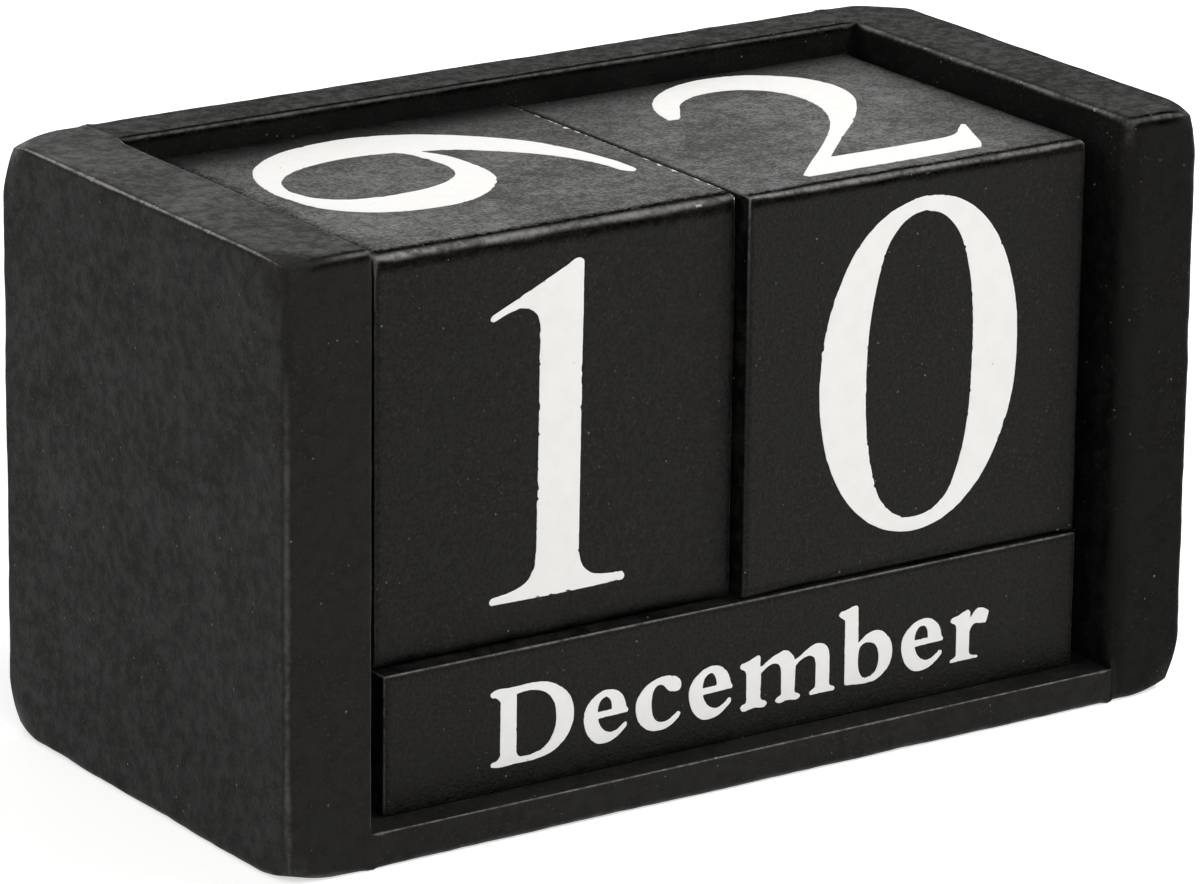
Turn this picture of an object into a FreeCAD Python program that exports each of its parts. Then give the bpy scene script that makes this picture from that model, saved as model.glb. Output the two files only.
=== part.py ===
"""Perpetual desk calendar: an open wooden box, two date cubes and three month bars.

Millimetres, +Z up. The origin is on the table plane, under the middle of the box.
The front of the calendar faces -Y. Every driving size is a named cell of the sheet.
"""
import FreeCAD
import Part
import Sketcher
import os

# The driving dimensions, in millimetres
DIMENSIONS = {
    # Date cubes, standing on the bars
    "cube_size": 47.8,
    "cube_edge_radius": 1.0,
    "cube_spacing": 0.9,
    "left_cube_left_gap": 3.9,
    "left_cube_back_gap": 0.1,
    "right_cube_right_gap": 2.9,
    "right_cube_back_gap": 1.9,
    # Month bars, three alike, side by side from the back panel forward
    "bar_side": 16.6,
    "bar_edge_radius": 0.4,
    "bar_play": 0.1,
    "bar_recess": 3.8,
    "bar_left_gap": 3.8,
    "bar_right_gap": 2.9,
    # Boards of the box
    "left_panel_thickness": 11.2,
    "right_panel_thickness": 10.5,
    "back_panel_thickness": 8.3,
    "base_thickness": 4.4,
    "rim_above_cubes": 2.8,
    # Sanded edges of the box
    "outer_edge_radius": 1.2,
    "inner_edge_radius": 0.5,
    "base_front_edge_radius": 0.3,
    # Corners of the box, knocked off by this much along each edge
    "left_top_front_knock": 4.0,
    "left_top_back_knock": 4.3,
    "left_bottom_front_knock": 5.5,
    "left_bottom_back_knock": 5.1,
    "right_top_front_knock": 3.2,
    "right_top_back_knock": 5.8,
    "right_bottom_front_knock": 4.8,
    "right_bottom_back_knock": 5.0,
    "knock_edge_radius": 2.2,
}

# The month bars, from the back panel forward
BARS = ("month_bar_rear", "month_bar_middle", "month_bar_front")

# The room inside the box, from what it holds, and the box around it, as expressions
CUBE = "Dimensions.cube_size"
BAR = "Dimensions.bar_side"
CLEAR_WIDTH = (
    "(Dimensions.left_cube_left_gap + 2 * Dimensions.cube_size"
    " + Dimensions.cube_spacing + Dimensions.right_cube_right_gap)"
)
CLEAR_DEPTH = "(%d * (Dimensions.bar_side + Dimensions.bar_play) + Dimensions.bar_recess)" % len(BARS)
BARS_TOP = "(Dimensions.base_thickness + Dimensions.bar_side)"
BOX_WIDTH = "(Dimensions.left_panel_thickness + %s + Dimensions.right_panel_thickness)" % CLEAR_WIDTH
BOX_DEPTH = "(%s + Dimensions.back_panel_thickness)" % CLEAR_DEPTH
BOX_HEIGHT = "(%s + Dimensions.cube_size + Dimensions.rim_above_cubes)" % BARS_TOP

# Where the boards' faces lie in the finished calendar
LEFT_OUTSIDE = "(-%s / 2)" % BOX_WIDTH
LEFT_INSIDE = "(%s + Dimensions.left_panel_thickness)" % LEFT_OUTSIDE
RIGHT_INSIDE = "(%s + %s)" % (LEFT_INSIDE, CLEAR_WIDTH)
FRONT = "(-%s / 2)" % BOX_DEPTH
BACK_INSIDE = "(%s + %s)" % (FRONT, CLEAR_DEPTH)

TINY = FreeCAD.Base.Precision.approximation()


def fill_sheet(doc):
    """Write the driving dimensions into the document's sheet, one alias a row."""
    sheet = doc.addObject("Spreadsheet::Sheet", "Dimensions")
    for row, (alias, value) in enumerate(DIMENSIONS.items(), start=1):
        sheet.set("A%d" % row, alias)
        sheet.set("B%d" % row, str(value))
        sheet.setAlias("B%d" % row, alias)
    doc.recompute()
    return sheet


def new_body(doc, label, at):
    """Add a body called label whose origin is placed at three expressions."""
    body = doc.addObject("PartDesign::Body", label)
    body.Label = label
    for axis, expression in zip("xyz", at):
        body.setExpression("Placement.Base." + axis, expression)
    return body


def origin_plane(body, role):
    """Return the body's own origin plane with the given role."""
    return next(item for item in body.Origin.OriginFeatures if item.Role == role)


def rectangle(body, name, role, width, height):
    """Draw a rectangle from the origin of one of the body's planes."""
    sketch = body.newObject("Sketcher::SketchObject", name)
    sketch.AttachmentSupport = [(origin_plane(body, role), "")]
    sketch.MapMode = "FlatFace"
    corners = [(0, 0), (1, 0), (1, 1), (0, 1)]
    for index in range(4):
        start = FreeCAD.Vector(*corners[index], 0)
        end = FreeCAD.Vector(*corners[(index + 1) % 4], 0)
        sketch.addGeometry(Part.LineSegment(start, end), False)
    for index in range(4):
        sketch.addConstraint(Sketcher.Constraint("Coincident", index, 2, (index + 1) % 4, 1))
    for index, kind in enumerate(("Horizontal", "Vertical", "Horizontal", "Vertical")):
        sketch.addConstraint(Sketcher.Constraint(kind, index))
    sketch.addConstraint(Sketcher.Constraint("Coincident", 0, 1, -1, 1))
    across = sketch.addConstraint(Sketcher.Constraint("DistanceX", 0, 1, 0, 2, 1.0))
    sketch.renameConstraint(across, "across")
    upward = sketch.addConstraint(Sketcher.Constraint("DistanceY", 1, 1, 1, 2, 1.0))
    sketch.renameConstraint(upward, "upward")
    sketch.setExpression("Constraints.across", width)
    sketch.setExpression("Constraints.upward", height)
    return sketch


def board(doc, label, at, role, width, height, thickness):
    """Make a body that is one square-edged board or block."""
    body = new_body(doc, label, at)
    outline = rectangle(body, label + "_outline", role, width, height)
    pad = body.newObject("PartDesign::Pad", label + "_thickness")
    pad.Profile = outline
    pad.setExpression("Length", thickness)
    # The XZ plane's normal points to the front, so its boards are turned to grow backward
    pad.Reversed = role == "XZ_Plane"
    body.Tip = pad
    doc.recompute()
    return body


def far_corner(body):
    """Return the corner of a fresh board that lies farthest from its body's origin."""
    points = [vertex.Point for vertex in body.Tip.Shape.Vertexes]
    return FreeCAD.Vector(*(max(point[axis] for point in points) for axis in range(3)))


def knock_corner(doc, body, name, signs, corner, amount):
    """Take off one corner of a board along a plane square to its diagonal.

    signs tells which way the corner points, corner holds its place in the body as three
    expressions, and amount is how far along each edge the plane reaches.
    """
    normal = FreeCAD.Vector(*signs).normalize()
    along = normal.cross(FreeCAD.Vector(0, 0, 1)).normalize()
    beside = normal.cross(along)
    cutter = body.newObject("PartDesign::SubtractiveBox", name)
    for side in ("Length", "Width", "Height"):
        cutter.setExpression(side, "2 * " + amount)
    cutter.Placement = FreeCAD.Placement(FreeCAD.Vector(), FreeCAD.Rotation(along, beside, normal, "ZXY"))
    for index, axis in enumerate("xyz"):
        shift = signs[index] / 3.0 + along[index] + beside[index]
        expression = "%s - %.9f * %s" % (corner[index], shift, amount)
        cutter.setExpression("Placement.Base." + axis, expression)
    body.Tip = cutter
    doc.recompute()
    return cutter


def round_edges(doc, body, name, radius, wanted):
    """Round every edge of the body's present shape that the test wanted picks."""
    base = body.Tip
    names = []
    for index, edge in enumerate(base.Shape.Edges, start=1):
        ends = [vertex.Point for vertex in edge.Vertexes]
        if len(ends) == 2 and wanted(ends):
            names.append("Edge%d" % index)
    if not names:
        raise RuntimeError("no edges to round: " + name)
    fillet = body.newObject("PartDesign::Fillet", name)
    fillet.Base = (base, names)
    fillet.setExpression("Radius", radius)
    body.Tip = fillet
    doc.recompute()
    return fillet


def runs_across(ends):
    """Tell whether an edge runs in the calendar's left to right direction."""
    return abs(ends[0].x - ends[-1].x) > TINY


def side_panel(doc, label, at, thickness_alias, outer_sign, knocks):
    """Make a side panel: a board with four knocked corners and sanded edges.

    outer_sign is -1 where the outer face is at the body's x = 0 and +1 where it is at
    x = thickness. knocks maps (y sign, z sign) to the alias of that corner's amount.
    """
    thickness = "Dimensions." + thickness_alias
    body = board(doc, label, at, "YZ_Plane", BOX_DEPTH, BOX_HEIGHT, thickness)
    size = far_corner(body)
    for (y_sign, z_sign), alias in knocks.items():
        corner = (
            thickness if outer_sign > 0 else "0",
            BOX_DEPTH if y_sign > 0 else "0",
            BOX_HEIGHT if z_sign > 0 else "0",
        )
        before = body.Shape.Volume
        knock_corner(doc, body, alias, (outer_sign, y_sign, z_sign), corner, "Dimensions." + alias)
        if not body.Shape.Volume < before:
            raise RuntimeError("the knock cut nothing: " + alias)
    inner_x = 0.0 if outer_sign > 0 else size.x

    def axes_spanned(ends):
        return sum(abs(ends[0][axis] - ends[-1][axis]) > TINY for axis in range(3))

    def on_inner(ends):
        return all(abs(point.x - inner_x) < TINY for point in ends)

    def knock_edge(ends):
        return axes_spanned(ends) == 2

    def outer_edge(ends):
        faces = 0
        for axis in range(3):
            for level in (0.0, size[axis]):
                faces += all(abs(point[axis] - level) < TINY for point in ends)
        return axes_spanned(ends) == 1 and faces == 2 and not on_inner(ends)

    def inner_front_or_top(ends):
        front = all(point.y < TINY for point in ends)
        top = all(point.z > size.z - TINY for point in ends)
        return on_inner(ends) and (front or top)

    round_edges(doc, body, label + "_corner_rounding", "Dimensions.knock_edge_radius", knock_edge)
    round_edges(doc, body, label + "_outer_rounding", "Dimensions.outer_edge_radius", outer_edge)
    round_edges(doc, body, label + "_inner_rounding", "Dimensions.inner_edge_radius", inner_front_or_top)
    return body


def build(doc):
    """Make every piece of the calendar and return the bodies."""
    pieces = []

    # The two side panels, full height and full depth
    pieces.append(side_panel(
        doc, "left_side_panel", (LEFT_OUTSIDE, FRONT, "0"), "left_panel_thickness", -1,
        {
            (-1, 1): "left_top_front_knock",
            (1, 1): "left_top_back_knock",
            (-1, -1): "left_bottom_front_knock",
            (1, -1): "left_bottom_back_knock",
        },
    ))
    pieces.append(side_panel(
        doc, "right_side_panel", (RIGHT_INSIDE, FRONT, "0"), "right_panel_thickness", 1,
        {
            (-1, 1): "right_top_front_knock",
            (1, 1): "right_top_back_knock",
            (-1, -1): "right_bottom_front_knock",
            (1, -1): "right_bottom_back_knock",
        },
    ))

    # The back panel, full height, glued between the side panels
    back = board(
        doc, "back_panel", (LEFT_INSIDE, BACK_INSIDE, "0"), "XZ_Plane",
        CLEAR_WIDTH, BOX_HEIGHT, "Dimensions.back_panel_thickness",
    )
    back_size = far_corner(back)
    round_edges(
        doc, back, "back_panel_outer_rounding", "Dimensions.outer_edge_radius",
        lambda ends: runs_across(ends) and all(point.y > back_size.y - TINY for point in ends),
    )
    round_edges(
        doc, back, "back_panel_inner_rounding", "Dimensions.inner_edge_radius",
        lambda ends: runs_across(ends)
        and all(point.y < TINY and point.z > back_size.z - TINY for point in ends),
    )
    pieces.append(back)

    # The base panel, glued between the side panels and in front of the back panel
    base = board(
        doc, "base_panel", (LEFT_INSIDE, FRONT, "0"), "XY_Plane",
        CLEAR_WIDTH, CLEAR_DEPTH, "Dimensions.base_thickness",
    )
    base_size = far_corner(base)
    round_edges(
        doc, base, "base_panel_outer_rounding", "Dimensions.outer_edge_radius",
        lambda ends: runs_across(ends) and all(point.y < TINY and point.z < TINY for point in ends),
    )
    round_edges(
        doc, base, "base_panel_front_rounding", "Dimensions.base_front_edge_radius",
        lambda ends: runs_across(ends)
        and all(point.y < TINY and point.z > base_size.z - TINY for point in ends),
    )
    pieces.append(base)

    # The two date cubes, standing on the bars, each placed from the back panel
    left_x = LEFT_INSIDE + " + Dimensions.left_cube_left_gap"
    right_x = "%s + %s + Dimensions.cube_spacing" % (left_x, CUBE)
    places = {
        "date_cube_left": (left_x, "Dimensions.left_cube_back_gap"),
        "date_cube_right": (right_x, "Dimensions.right_cube_back_gap"),
    }
    for label, (x, back_gap) in places.items():
        at = (x, "%s - %s - %s" % (BACK_INSIDE, back_gap, CUBE), BARS_TOP)
        body = board(doc, label, at, "XY_Plane", CUBE, CUBE, CUBE)
        round_edges(doc, body, label + "_rounding", "Dimensions.cube_edge_radius", lambda ends: True)
        pieces.append(body)

    # The three month bars, lying on the base from the back panel forward
    bar_length = "%s - Dimensions.bar_left_gap - Dimensions.bar_right_gap" % CLEAR_WIDTH
    for order, label in enumerate(BARS, start=1):
        at = (
            LEFT_INSIDE + " + Dimensions.bar_left_gap",
            "%s - %d * (%s + Dimensions.bar_play)" % (BACK_INSIDE, order, BAR),
            "Dimensions.base_thickness",
        )
        body = board(doc, label, at, "YZ_Plane", BAR, BAR, bar_length)
        round_edges(doc, body, label + "_rounding", "Dimensions.bar_edge_radius", lambda ends: True)
        pieces.append(body)
    return pieces


def check(doc, pieces):
    """Stop if any object failed or any piece is not one sound solid."""
    for item in doc.Objects:
        if "Invalid" in item.State or "Error" in item.State:
            raise RuntimeError("failed object: " + item.Label)
    for body in pieces:
        shape = body.Shape
        if shape.isNull() or not shape.isValid() or len(shape.Solids) != 1:
            raise RuntimeError("unsound piece: " + body.Label)


def main():
    doc = FreeCAD.newDocument("desk_calendar")
    fill_sheet(doc)
    pieces = build(doc)
    doc.recompute()
    check(doc, pieces)
    os.makedirs("parts", exist_ok=True)
    for body in pieces:
        body.Shape.exportStep(os.path.join("parts", body.Label + ".step"))
        box = body.Shape.BoundBox
        low = (round(box.XMin, 2), round(box.YMin, 2), round(box.ZMin, 2))
        high = (round(box.XMax, 2), round(box.YMax, 2), round(box.ZMax, 2))
        print(body.Label, low, high, round(body.Shape.Volume, 1))


main()
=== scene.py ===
"""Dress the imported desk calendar: black painted wood with white numerals and month names.

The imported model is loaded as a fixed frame. Each board, cube and bar gets a finely meshed
skin with soft, slightly uneven edges, painted numerals or month names lie on it as thin
films with their own thickness, and dust nibs in the paint are scattered over it.
"""
import logging
from dataclasses import dataclass, field, replace
from enum import Enum
from typing import Any, ClassVar, Dict, Iterable, List, Optional, Sequence, Tuple, Union

import bpy
import numpy as np
from mathutils import Matrix, Vector, noise
from mathutils.geometry import delaunay_2d_cdt


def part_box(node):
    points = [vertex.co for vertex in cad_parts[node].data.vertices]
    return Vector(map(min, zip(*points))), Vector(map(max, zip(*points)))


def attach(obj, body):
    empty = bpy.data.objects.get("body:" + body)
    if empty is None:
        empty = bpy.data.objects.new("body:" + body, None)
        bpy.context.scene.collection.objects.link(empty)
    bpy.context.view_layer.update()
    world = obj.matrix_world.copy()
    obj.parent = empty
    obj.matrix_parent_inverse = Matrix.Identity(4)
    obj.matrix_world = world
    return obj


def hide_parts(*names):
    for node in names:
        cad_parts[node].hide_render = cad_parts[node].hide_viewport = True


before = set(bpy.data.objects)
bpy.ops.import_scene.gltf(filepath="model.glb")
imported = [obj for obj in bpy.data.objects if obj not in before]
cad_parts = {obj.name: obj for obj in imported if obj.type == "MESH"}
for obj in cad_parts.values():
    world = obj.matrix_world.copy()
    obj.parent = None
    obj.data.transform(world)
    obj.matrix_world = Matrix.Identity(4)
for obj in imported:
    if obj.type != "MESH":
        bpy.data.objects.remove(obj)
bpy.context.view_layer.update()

LOG = logging.getLogger("desk_calendar")

MM = 0.001
WHITE = (1.0, 1.0, 1.0)

# How much each step of a graded line is longer than the one before
STEP_GROWTH = 1.16
# How often a skin's points are moved towards the rounded form
ROUNDING_PASSES = 7
# Edge radius where a board is glued, in millimetres
SEAM_RADIUS = 0.03
# Turn between two faces, in radians, past which the edge between them is shaded sharp
SHARP_TURN = 0.66
# A traced line of no more places than this is dropped
FEWEST_PLACES = 8
# First seeds of the dust on the cubes and on the bars
CUBE_DUST_SEED = 10
BAR_DUST_SEED = 20

Point = Tuple[float, float]
Colour = Tuple[float, float, float]


class Side(Enum):
    """One of the six sides of a block: its axis and the way it faces."""

    LEFT = (0, -1)
    RIGHT = (0, 1)
    FRONT = (1, -1)
    BACK = (1, 1)
    BOTTOM = (2, -1)
    TOP = (2, 1)

    @property
    def normal(self) -> np.ndarray:
        """Return the outward direction of the side."""
        axis, sign = self.value
        return sign * np.eye(3)[axis]


SIDES: Tuple[Side, ...] = tuple(Side)
Edge = Tuple[Side, Side]
EDGES: Tuple[Tuple[int, int], ...] = tuple(
    (i, j) for i in range(6) for j in range(i + 1, 6) if SIDES[i].value[0] != SIDES[j].value[0]
)


# Shader graphs


class Value:
    """A shader socket that carries one number, with maths written as expressions."""

    def __init__(self, bench: "NodeMaker", socket: Any) -> None:
        """Keep the bench that makes new nodes, and the socket."""
        self.bench = bench
        self.socket = socket

    def _math(self, operation: str, *terms: Any) -> "Value":
        """Add one Math node.

        Args:
            operation: Name of the Math node's operation.
            terms: Its inputs in order, as values or plain numbers.

        Returns:
            The node's result.
        """
        node = self.bench.make("ShaderNodeMath", {"operation": operation}, dict(enumerate(terms)))
        return Value(self.bench, node.outputs[0])

    def __add__(self, other: Any) -> "Value":
        """Return self + other."""
        return self._math("ADD", self, other)

    def __radd__(self, other: Any) -> "Value":
        """Return other + self."""
        return self._math("ADD", other, self)

    def __sub__(self, other: Any) -> "Value":
        """Return self - other."""
        return self._math("SUBTRACT", self, other)

    def __rsub__(self, other: Any) -> "Value":
        """Return other - self."""
        return self._math("SUBTRACT", other, self)

    def __mul__(self, other: Any) -> "Value":
        """Return self * other."""
        return self._math("MULTIPLY", self, other)

    def __rmul__(self, other: Any) -> "Value":
        """Return other * self."""
        return self._math("MULTIPLY", other, self)

    def ramp(self, low: float, high: float) -> "Value":
        """Add a smooth step.

        Args:
            low: Value that gives 0.
            high: Value that gives 1.

        Returns:
            The step between them.
        """
        node = self.bench.make(
            "ShaderNodeMapRange",
            {"interpolation_type": "SMOOTHSTEP"},
            {"Value": self, "From Min": low, "From Max": high},
        )
        return Value(self.bench, node.outputs["Result"])

    def above(self, limit: float) -> "Value":
        """Return 1 where the value is greater than the limit, else 0."""
        return self._math("GREATER_THAN", self, limit)

    def clamp(self) -> "Value":
        """Return the value held between 0 and 1."""
        node = self.bench.make("ShaderNodeClamp", {}, {"Value": self})
        return Value(self.bench, node.outputs[0])


class NodeMaker:
    """Adds nodes to a tree, sets them up and connects them."""

    def __init__(self, tree: Any) -> None:
        """Keep the tree, emptied, that the nodes go into."""
        self.tree = tree
        self.tree.nodes.clear()

    def make(self, kind: str, settings: Dict[str, Any], inputs: Dict[Union[str, int], Any]) -> Any:
        """Add a node, set it up and connect it.

        Args:
            kind: Blender's name of the node type.
            settings: Properties of the node, set before its sockets are touched.
            inputs: Values or links by socket name or number.

        Returns:
            The new node.
        """
        node = self.tree.nodes.new(kind)
        for name, value in settings.items():
            setattr(node, name, value)
        for key, value in inputs.items():
            socket = node.inputs[key]
            if isinstance(value, Value):
                value = value.socket
            if isinstance(value, bpy.types.NodeSocket):
                self.tree.links.new(value, socket)
            elif socket.type == "RGBA":
                socket.default_value = (*value, 1.0)
            else:
                socket.default_value = value
        return node


class Bench(NodeMaker):
    """Builds the node tree of one material."""

    def __init__(self, name: str) -> None:
        """Start an empty material.

        Args:
            name: Name of the material.
        """
        self.material = bpy.data.materials.new(name)
        self.material.use_nodes = True
        super().__init__(self.material.node_tree)

    def object_place(self) -> Any:
        """Return the socket with the object's own coordinates, in metres."""
        return self.make("ShaderNodeTexCoord", {}, {}).outputs["Object"]

    def grain(self, place: Any, size_mm: float, detail: float, roughness: float = 0.55) -> Value:
        """Add noise.

        Args:
            place: Coordinates, in metres.
            size_mm: Size of its largest features.
            detail: How many finer octaves it has.
            roughness: How strong each finer octave is.

        Returns:
            The noise, from 0 to 1 and mostly near a half.
        """
        node = self.make(
            "ShaderNodeTexNoise",
            {},
            {"Vector": place, "Scale": 1.0 / (size_mm * MM), "Detail": detail, "Roughness": roughness},
        )
        return Value(self, node.outputs["Fac"])

    def blend(self, factor: Value, low: Any, high: Any) -> Any:
        """Return the colour low blended to high by factor."""
        node = self.make("ShaderNodeMix", {"data_type": "RGBA"}, {0: factor, 6: low, 7: high})
        return node.outputs[2]

    def attribute(self, name: str) -> Value:
        """Return a number stored on the mesh's points."""
        node = self.make("ShaderNodeAttribute", {"attribute_name": name}, {})
        return Value(self, node.outputs["Fac"])

    def finish(self, surface: Any) -> Any:
        """Connect the surface shader and return the material."""
        self.make("ShaderNodeOutputMaterial", {}, {"Surface": surface})
        return self.material


@dataclass(frozen=True)
class BlackPaint:
    """Satin black paint over wood fibre board, dull in patches, lighter along its edges with wear and a
    painted highlight.

    The mesh says how far each place is round an edge, how much wear and painted highlight it has, how dark
    the painted shade lines beside the edges are, and how flecked it is.

    Attributes:
        name: Name of the material.
        deep: Darkest paint.
        pale: Palest sound paint.
        floury: Fine specks where the fibre board shows through the paint.
        rubbed_highlight: Paint rubbed thin on an edge, with a highlight painted into the same colour.
        worn: Bare board where the paint has flecked off.
        roughness: Mean roughness.
        gloss: How strongly the satin paint mirrors.
        dullness: How far the dull patches lose their gloss.
        evenness: Share of the dullness that is spread evenly.
        fineness: How far the dull patches follow the pores and not the mottle.
        relief_mm: Depth of the bumps.
        sheen: Tint of the gloss.
        cloud_mm: Size of the broadest changes of tone.
        mottle_mm: Size of the blotches.
        pore_mm: Size of the board's pores under the paint.
        grit_mm: Size of the floury specks.
        chip_mm: Size of the breaks along a worn edge.
        flake_mm: Size of the flecks of lost paint.
        rub_mm: Length of the stretches of an edge that are rubbed and painted with a highlight.
    """

    name: str
    deep: Colour = (0.0010, 0.00095, 0.0009)
    pale: Colour = (0.0075, 0.0072, 0.0068)
    floury: Colour = (0.030, 0.029, 0.0275)
    rubbed_highlight: Colour = (0.27, 0.265, 0.253)
    worn: Colour = (0.60, 0.59, 0.57)
    roughness: float = 0.46
    gloss: float = 0.17
    dullness: float = 0.45
    evenness: float = 0.0
    fineness: float = 0.55
    relief_mm: float = 0.22
    sheen: Colour = (1.0, 0.975, 0.94)
    cloud_mm: float = 12.0
    mottle_mm: float = 1.7
    pore_mm: float = 0.42
    grit_mm: float = 0.30
    chip_mm: float = 0.9
    flake_mm: float = 1.4
    rub_mm: float = 4.5

    def material(self) -> Any:
        """Build the paint's node tree.

        Returns:
            The material.
        """
        bench = Bench(self.name)
        place = bench.object_place()
        clouds = bench.grain(place, self.cloud_mm, 3.0)
        mottle = bench.grain(place, self.mottle_mm, 4.0, 0.68)
        pores = bench.grain(place, self.pore_mm, 3.0, 0.6)
        grit = bench.grain(place, self.grit_mm, 2.0, 0.6)
        chipping = bench.grain(place, self.chip_mm, 3.0, 0.7)
        flaking = bench.grain(place, self.flake_mm, 1.5, 0.5)
        rubbing = bench.grain(place, self.rub_mm, 3.0, 0.6)
        edge, wear_and_highlight, painted_shade_line, flecks = (
            bench.attribute(name) for name in ("edge", "wear_and_highlight", "painted_shade_line", "flecks")
        )

        # Sound paint, with the board's specks in it
        tone = (0.3 * clouds + 0.4 * mottle + 0.3 * pores).ramp(0.44, 0.56)
        colour = bench.blend(tone, self.deep, self.pale)
        flour = grit.ramp(0.56, 0.76) * (0.6 * mottle + 0.4 * clouds).ramp(0.44, 0.60)
        colour = bench.blend(flour, colour, self.floury)

        # Edges rubbed thin and painted lighter as a highlight, and flecks of paint that are gone
        bend = edge + 0.3 * (pores - 0.5) + 0.2 * (chipping - 0.5)
        band = wear_and_highlight * bend.ramp(0.02, 0.85)
        rub_and_highlight = (band * (0.35 + 1.3 * (0.5 * chipping + 0.5 * rubbing).ramp(0.36, 0.64))).clamp()
        bare = (flecks + 2.2 * (flaking - 0.5) + 0.6 * (pores - 0.5)).ramp(0.50, 0.60)
        bare = bare * flecks.ramp(0.01, 0.06)
        colour = bench.blend(rub_and_highlight, colour, self.rubbed_highlight)
        colour = bench.blend(bare, colour, self.worn)

        # Bumps, and satin paint that turns matt in patches, and along the painted shade lines beside the
        # edges
        height = 0.15 * mottle + 0.45 * pores + 0.20 * grit + 0.05 * bare
        bump = bench.make(
            "ShaderNodeBump", {}, {"Strength": 1.0, "Distance": self.relief_mm * MM, "Height": height}
        )
        roughness = self.roughness + 0.35 * (mottle - 0.5) + 0.2 * (clouds - 0.5) + 0.2 * bare
        skin = {
            "Base Color": colour,
            "Roughness": roughness.clamp(),
            "Specular Tint": self.sheen,
            "Normal": bump.outputs[0],
        }
        satin = bench.make("ShaderNodeBsdfPrincipled", {}, {**skin, "Specular IOR Level": self.gloss})
        matt = bench.make("ShaderNodeBsdfPrincipled", {}, {**skin, "Specular IOR Level": 0.0})
        patches = 0.2 * clouds + (0.8 - self.fineness) * mottle + self.fineness * pores
        patches = 0.5 * self.evenness + (1.0 - self.evenness) * patches.ramp(0.45, 0.56)
        # Painted shade: the lines beside the edges turn matt and so look darker
        line = painted_shade_line * (1.0 + 2.0 * (chipping - 0.5))
        dull = (self.dullness * patches + line).clamp()
        paint = bench.make("ShaderNodeMixShader", {}, {0: dull, 1: satin.outputs[0], 2: matt.outputs[0]})
        return bench.finish(paint.outputs[0])


@dataclass(frozen=True)
class DustPaint:
    """Dust caught under the paint, paler than the paint around it.

    Attributes:
        name: Name of the material.
        tint: Palest dust.
        depth: Share of that tint in the darkest dust.
        cloud_mm: Size of the changes of tone.
        roughness: Roughness.
        gloss: How strongly it mirrors.
    """

    name: str
    tint: Colour = (0.12, 0.116, 0.109)
    depth: float = 0.25
    cloud_mm: float = 1.2
    roughness: float = 0.6
    gloss: float = 0.25

    def material(self) -> Any:
        """Build the dust's node tree.

        Returns:
            The material.
        """
        bench = Bench(self.name)
        tone = bench.grain(bench.object_place(), self.cloud_mm, 1.0).ramp(0.42, 0.68)
        colour = bench.blend(tone, tuple(self.depth * part for part in self.tint), self.tint)
        dust = bench.make(
            "ShaderNodeBsdfPrincipled",
            {},
            {"Base Color": colour, "Roughness": self.roughness, "Specular IOR Level": self.gloss},
        )
        return bench.finish(dust.outputs[0])


@dataclass(frozen=True)
class WhitePaint:
    """Matte white screen printed paint, slightly uneven where it covers the black.

    Attributes:
        name: Name of the material.
        full: Paint that covers well.
        thin: Paint that covers less well.
        pierced: Pinholes in the paint.
        roughness: Mean roughness.
        gloss: How strongly it mirrors.
        relief_mm: Depth of the bumps.
        cover_mm: Size of the thin patches.
        weave_mm: Size of the screen's weave.
        pinhole_mm: Distance between pinholes.
    """

    name: str
    full: Colour = (0.86, 0.86, 0.85)
    thin: Colour = (0.835, 0.835, 0.825)
    pierced: Colour = (0.30, 0.30, 0.29)
    roughness: float = 0.55
    gloss: float = 0.35
    relief_mm: float = 0.02
    cover_mm: float = 2.4
    weave_mm: float = 0.5
    pinhole_mm: float = 0.9

    def material(self) -> Any:
        """Build the paint's node tree.

        Returns:
            The material.
        """
        bench = Bench(self.name)
        place = bench.object_place()
        cover = bench.grain(place, self.cover_mm, 4.0, 0.6)
        weave = bench.grain(place, self.weave_mm, 2.0)
        pinholes = bench.grain(place, self.pinhole_mm, 1.0).ramp(0.80, 0.86)
        colour = bench.blend(cover.ramp(0.62, 0.36), self.full, self.thin)
        colour = bench.blend(pinholes, colour, self.pierced)
        bump = bench.make(
            "ShaderNodeBump",
            {},
            {"Strength": 1.0, "Distance": self.relief_mm * MM, "Height": 0.6 * cover + 0.4 * weave},
        )
        paint = bench.make(
            "ShaderNodeBsdfPrincipled",
            {},
            {
                "Base Color": colour,
                "Roughness": self.roughness + 0.1 * (cover - 0.5),
                "Specular IOR Level": self.gloss,
                "Normal": bump.outputs[0],
            },
        )
        return bench.finish(paint.outputs[0])


@dataclass(frozen=True)
class StudioPaper:
    """Pale paper under the object, plain white to the camera but for the shadow on it.

    Attributes:
        name: Name of the material.
        tint: Colour of the paper.
        lift: How much light is added where the camera sees it.
        tooth_mm: Size of the paper's grain.
    """

    name: str
    tint: Colour = (0.80, 0.80, 0.80)
    lift: float = 0.59
    tooth_mm: float = 3.0

    def material(self) -> Any:
        """Build the paper's node tree.

        Returns:
            The material.
        """
        bench = Bench(self.name)
        path = bench.make("ShaderNodeLightPath", {}, {})
        seen = Value(bench, path.outputs["Is Camera Ray"]) + Value(bench, path.outputs["Is Glossy Ray"])
        seen = (seen + Value(bench, path.outputs["Is Transmission Ray"])).clamp()
        tooth = bench.grain(bench.object_place(), self.tooth_mm, 2.0)
        colour = bench.blend(tooth, self.tint, tuple(1.01 * part for part in self.tint))
        glow = bench.blend(seen, (0.0, 0.0, 0.0), (self.lift, self.lift, self.lift))
        paper = bench.make(
            "ShaderNodeBsdfPrincipled",
            {},
            {
                "Base Color": colour,
                "Roughness": 0.9,
                "Specular IOR Level": 0.0,
                "Emission Color": glow,
                "Emission Strength": 1.0,
            },
        )
        return bench.finish(paper.outputs[0])


# Objects


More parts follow.
